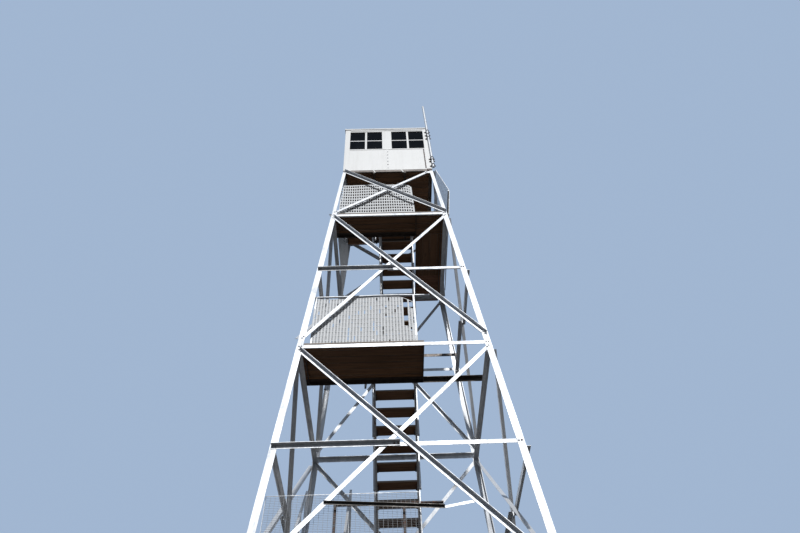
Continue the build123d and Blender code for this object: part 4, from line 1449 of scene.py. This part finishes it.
class FitMast(bpy.types.Operator):
    """Fit the U-bolts, saddles and cap of the mast"""

    bl_idname = "lookout.fit_mast"
    bl_label = "Mast fittings"

    def execute(self, context):
        materials = finishes()
        parts = []
        for above in CLAMP_HEIGHTS:
            parts += self.clamp(MAST_FOOT + above / MAST_TALL * (MAST_HEAD - MAST_FOOT))
        piece(
            "mast_brackets", parts, materials["Dark fittings"], ["mast_clamps"],
            smooth=40,
        )
        run = unit(MAST_HEAD - MAST_FOOT)
        cap = wires(MAST_HEAD - 0.045 * run, MAST_HEAD - 0.002 * run, MAST_RADIUS + 0.002, 20)
        low = MAST_FOOT + 0.72 * (MAST_HEAD - MAST_FOOT)
        collar = wires(low, low + 0.05 * run, MAST_RADIUS + 0.003, 20)
        piece("mast_cap", [cap, collar], materials["Galvanised steel"], smooth=40)
        return {"FINISHED"}

    def clamp(self, centre):
        """A U-bolt round the pipe, the saddle behind it and its two nuts.

        The bend is centre + radius * (cos a, sin a), with a going half a turn round the front.
        """
        a = np.linspace(np.pi, 2 * np.pi, BEND_STEPS)
        bend = centre + BEND_RADIUS * np.stack([np.cos(a), np.sin(a), 0.0 * a], axis=1)
        tails = bend[[0, -1]]
        tails[:, 1] = -CAB_HALF - 0.004
        path = np.concatenate([tails[:1], bend, tails[1:]])
        rod = carried(path[None], UPWARD, disc(0.008, 8))
        on_saddle = np.array([centre[0], -CAB_HALF - 0.012, centre[2]])
        left = on_saddle - [0.075, 0.0, 0.0]
        saddle = bars(left, left + [0.145, 0.0, 0.0], BACKWARD, 0.012, 0.040, 0.002)
        nuts = on_saddle + [[-BEND_RADIUS, -0.006, 0.0], [BEND_RADIUS, -0.006, 0.0]]
        return [rod, saddle, *bolts(nuts, -BACKWARD, 0.016, 0.012)]


class SetPiers(bpy.types.Operator):
    """Cast the concrete piers and set the anchor bolts"""

    bl_idname = "lookout.set_piers"
    bl_label = "Piers"

    def execute(self, context):
        materials = finishes()
        quarters = np.array([(x, y) for x in (-1, 1) for y in (-1, 1)])
        corners = quarters * (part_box("concrete_piers")[1].x - PIER_SIDE / 2)
        paths = np.array([[(x, y, height) for height in PIER_HEIGHTS] for x, y in corners])
        outline = rectangle(PIER_SIDE, PIER_SIDE, 0.02)
        blocks = carried(paths, RIGHTWARD, outline, PIER_SWELLS)
        piece("pier_blocks", [blocks], materials["Concrete"], ["concrete_piers"])
        places = (corners[:, None] + quarters * 0.105).reshape(-1, 2)
        places = np.insert(places, 2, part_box("base_plates")[1].z, axis=1)
        parts = bolts(places, UPWARD, 0.018, 0.016)
        parts.append(wires(places, places + 0.045 * UPWARD, 0.010, 8))
        piece("anchor_bolts", parts, materials["Bolts"])
        return {"FINISHED"}


class DriveBolts(bpy.types.Operator):
    """Drive the bolts of the braces and the struts"""

    bl_idname = "lookout.drive_bolts"
    bl_label = "Bolts"

    def execute(self, context):
        materials = finishes()
        parts = []
        for face in FACES:
            parts += self.brace_bolts(face)
            parts += self.strut_bolts(face)
        piece("steelwork_bolts", parts, materials["Bolts"])
        return {"FINISHED"}

    def brace_bolts(self, face):
        """Two bolts at each end of a brace, and one where the two braces of a panel cross.

        They cross at first + s * first run = second + t * second run, solved for s and t.
        """
        parts = []
        out = turned(FACE_OUT, face)
        for number, panel in enumerate(PANELS):
            top = number == len(PANELS) - 1
            drop = BEAM_DEPTH if face in ("left", "right") and not top else 0.0
            lines = []
            for outside in (False, True):
                low, high = np.array(brace_ends(panel, drop, outside)) / [1.0, np.cos(LEAN)]
                if outside:
                    low[0] = -low[0]
                    high[0] = -high[0]
                run = unit(high - low)
                lines.append((low, run))
                ends = np.array([low, low + 0.045 * run, high, high - 0.045 * run])
                surface = np.full(4, BRACE_THICK if outside else 0.0)
                if top and not outside:
                    surface[2:] = -LEG_THICK
                parts += bolts(on_face(ends[:, 0], ends[:, 1], surface, face), out, *BOLT)
            (first, first_run), (second, second_run) = lines
            shares = np.linalg.solve(np.stack([first_run, -second_run], axis=1), second - first)
            cross = first + shares[0] * first_run
            parts += bolts(on_face(cross[:1], cross[1], BRACE_THICK, face), out, *BOLT)
        return parts

    def strut_bolts(self, face):
        """Two bolts at each end of a strut, and two where a pair of half struts meets."""
        parts = []
        out = turned(FACE_OUT, face)
        for number, level in LEVELS.items():
            front = number in FRONT_LANDINGS
            carries = face == "right" or (face == "left" and front)
            top = level - BEAM_DEPTH if carries else level
            side = STRUT_SIDE if front else HALF_STRUT_SIDE
            if face == "front" and not front:
                top = level + FRONT_STRUT_RAISE
            climb = (top - side / 2) / np.cos(LEAN)
            x = half_width(top) - np.array([0.035, 0.075])
            left = on_face(-x, climb, 0.0 if front else STRUT_THICK, face)
            right = on_face(x, climb, 0.0, face)
            parts += bolts(np.concatenate([left, right]), out, *BOLT)
            if not front:
                middle = on_face(np.array([-0.045, 0.010]), climb, STRUT_THICK, face)
                parts += bolts(middle, out, *BOLT)
        return parts


class DressSteel(bpy.types.Operator):
    """Give the CAD model's steelwork and walls their finishes"""

    bl_idname = "lookout.dress_steel"
    bl_label = "Steel and sheet finishes"

    def execute(self, context):
        materials = finishes()
        steel = [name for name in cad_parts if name.startswith("leg_")]
        steel += [f"{face}_{kind}" for face in FACES for kind in ("braces", "struts")]
        steel += ["mast", "base_plates", "stair_handrails"]
        dress(steel, materials["Galvanised steel"])
        dress(["stair_stringers"], materials["Galvanised beams"])
        # The beams under the landings and the cab get painted shade
        dress(["landing_beams", "cab_beams"], materials["Steel in painted shade"])
        # The lowest rail carries painted shade along the landing
        dress(["landing_2_low_rail"], materials["Low rail"])
        dress(["cab_joists"], materials["Joists"])
        dress([f"{face}_wall" for face in FACES], materials["White sheet"])
        dress(["cab_roof"], materials["Roof sheet"])
        return {"FINISHED"}


# Stage

# Each lamp's strength, its size in degrees and the way its light goes
LAMPS = {
    "key": (2.7, 2.0, (-0.037, 0.743, -0.669)),
    "side": (0.4, 40.0, (-0.9, -0.1, -0.4)),
    "rear": (0.3, 40.0, (0.3, -0.9, -0.5)),
}
LAMP_HEIGHT = 30.0
SKY_FILL = 0.15
FLOOR_REACH = 60.0
FLOOR_UNSEEN = (0.035, 0.035, 0.035, 1.0)


def standing(right, up, back, place):
    """The placing of a camera or a lamp that stands at a place and looks away from back."""
    placed = np.eye(4)
    placed[:3] = np.stack([right, up, back, place], axis=1)
    return Matrix(placed.tolist())


class SetStage(bpy.types.Operator):
    """Set the camera, the pale floor, the backdrop and the soft light"""

    bl_idname = "lookout.set_stage"
    bl_label = "Stage"

    def execute(self, context):
        stage = context.scene.lookout_stage
        self.camera(context, stage)
        self.floor(context, stage)
        self.backdrop(context, stage)
        self.lamps(context)
        context.scene.view_settings.view_transform = "Standard"
        return {"FINISHED"}

    def camera(self, context, stage):
        """The camera at its eye.

        ahead is (sin h cos c, cos h cos c, sin c) for the heading h and the climb c, and the roll
        turns the picture's right and up about it.
        """
        level = np.cos(stage.climb)
        ahead = np.array(
            [np.sin(stage.heading) * level, np.cos(stage.heading) * level, np.sin(stage.climb)]
        )
        right = np.array([np.cos(stage.heading), -np.sin(stage.heading), 0.0])
        up = np.cross(right, ahead)
        cosine = np.cos(stage.roll)
        sine = np.sin(stage.roll)
        across = cosine * right + sine * up
        upright = cosine * up - sine * right
        lens = bpy.data.cameras.new("camera")
        lens.lens = stage.lens
        lens.sensor_width = 36.0
        lens.sensor_fit = "HORIZONTAL"
        lens.clip_end = 500.0
        made = bpy.data.objects.new("camera", lens)
        made.matrix_world = standing(across, upright, -ahead, stage.eye)
        context.scene.collection.objects.link(made)
        context.scene.camera = made

    def floor(self, context, stage):
        """A pale clouded floor that is dark to all but camera rays, so it throws back little light."""
        tree, shader, place = new_finish("Studio floor")
        cloud = spread(tree, place, 0.4, 3.0)
        darker = tuple(0.94 * part for part in stage.floor[:3]) + (1.0,)
        colour = blended(tree, cloud, stage.floor, darker)
        path = tree.nodes.new("ShaderNodeLightPath")
        colour = blended(tree, path.outputs["Is Camera Ray"], FLOOR_UNSEEN, colour)
        tree.links.new(colour, shader.inputs["Base Color"])
        shader.inputs["Roughness"].default_value = 0.9
        mesh = bpy.data.meshes.new("studio_floor")
        corners = FLOOR_REACH * np.array([(-1, -1, 0), (1, -1, 0), (1, 1, 0), (-1, 1, 0)])
        mesh.from_pydata(corners.tolist(), [], [(0, 1, 2, 3)])
        mesh.materials.append(bpy.data.materials["Studio floor"])
        ground = bpy.data.objects.new("studio_floor", mesh)
        context.scene.collection.objects.link(ground)

    def backdrop(self, context, stage):
        """A pale sky where it is seen, and a faint white light from all round."""
        world = bpy.data.worlds.new("studio")
        world.use_nodes = True
        tree = world.node_tree
        tree.nodes.clear()
        path = tree.nodes.new("ShaderNodeLightPath")
        seen = reckoned(tree, "MAXIMUM", path.outputs["Is Camera Ray"], path.outputs["Is Glossy Ray"])
        seen = reckoned(tree, "MAXIMUM", seen, path.outputs["Is Transmission Ray"])
        colour = blended(tree, seen, (1.0, 1.0, 1.0, 1.0), stage.sky)
        strength = ranged(tree, seen, 0.0, 1.0, SKY_FILL, 1.0)
        shade = node(tree, "ShaderNodeBackground", Color=colour, Strength=strength)
        out = tree.nodes.new("ShaderNodeOutputWorld")
        tree.links.new(shade.outputs["Background"], out.inputs["Surface"])
        context.scene.world = world

    def lamps(self, context):
        """The key lamp from the front and two soft ones that fill its shadows."""
        for name, (strength, size, way) in LAMPS.items():
            lamp = bpy.data.lights.new(name, "SUN")
            lamp.energy = strength
            lamp.angle = np.radians(size)
            made = bpy.data.objects.new(name, lamp)
            back = unit(-np.array(way))
            right = unit(np.cross(UPWARD, back))
            up = np.cross(back, right)
            made.matrix_world = standing(right, up, back, LAMP_HEIGHT * UPWARD)
            context.scene.collection.objects.link(made)


STEPS = (
    SetStage,
    DressSteel,
    SetPiers,
    LayLandings,
    LayStairs,
    WeaveGuards,
    FitCab,
    FitMast,
    DriveBolts,
)


class LookoutPanel(bpy.types.Panel):
    """Lists the steps that dress the tower"""

    bl_idname = "VIEW3D_PT_lookout"
    bl_label = "Fire lookout tower"
    bl_space_type = "VIEW_3D"
    bl_region_type = "UI"
    bl_category = "Lookout"

    def draw(self, context):
        for step in STEPS:
            self.layout.operator(step.bl_idname)


GROUPS = {
    "lookout_boards": BoardSizes,
    "lookout_mesh": MeshSizes,
    "lookout_cab": CabSizes,
    "lookout_colours": Colours,
    "lookout_stage": StageSettings,
}


def register():
    """Register the property groups, the operators and the panel."""
    for name, group in GROUPS.items():
        bpy.utils.register_class(group)
        setattr(bpy.types.Scene, name, PointerProperty(type=group))
    for step in STEPS:
        bpy.utils.register_class(step)
    bpy.utils.register_class(LookoutPanel)


def unregister():
    """Take out what register put in, in the opposite order."""
    bpy.utils.unregister_class(LookoutPanel)
    for step in reversed(STEPS):
        bpy.utils.unregister_class(step)
    for name, group in GROUPS.items():
        delattr(bpy.types.Scene, name)
        bpy.utils.unregister_class(group)


def main():
    """Run every step in turn."""
    register()
    for step in STEPS:
        section, action = step.bl_idname.split(".")
        getattr(getattr(bpy.ops, section), action)()


if __name__ == "__main__":
    main()
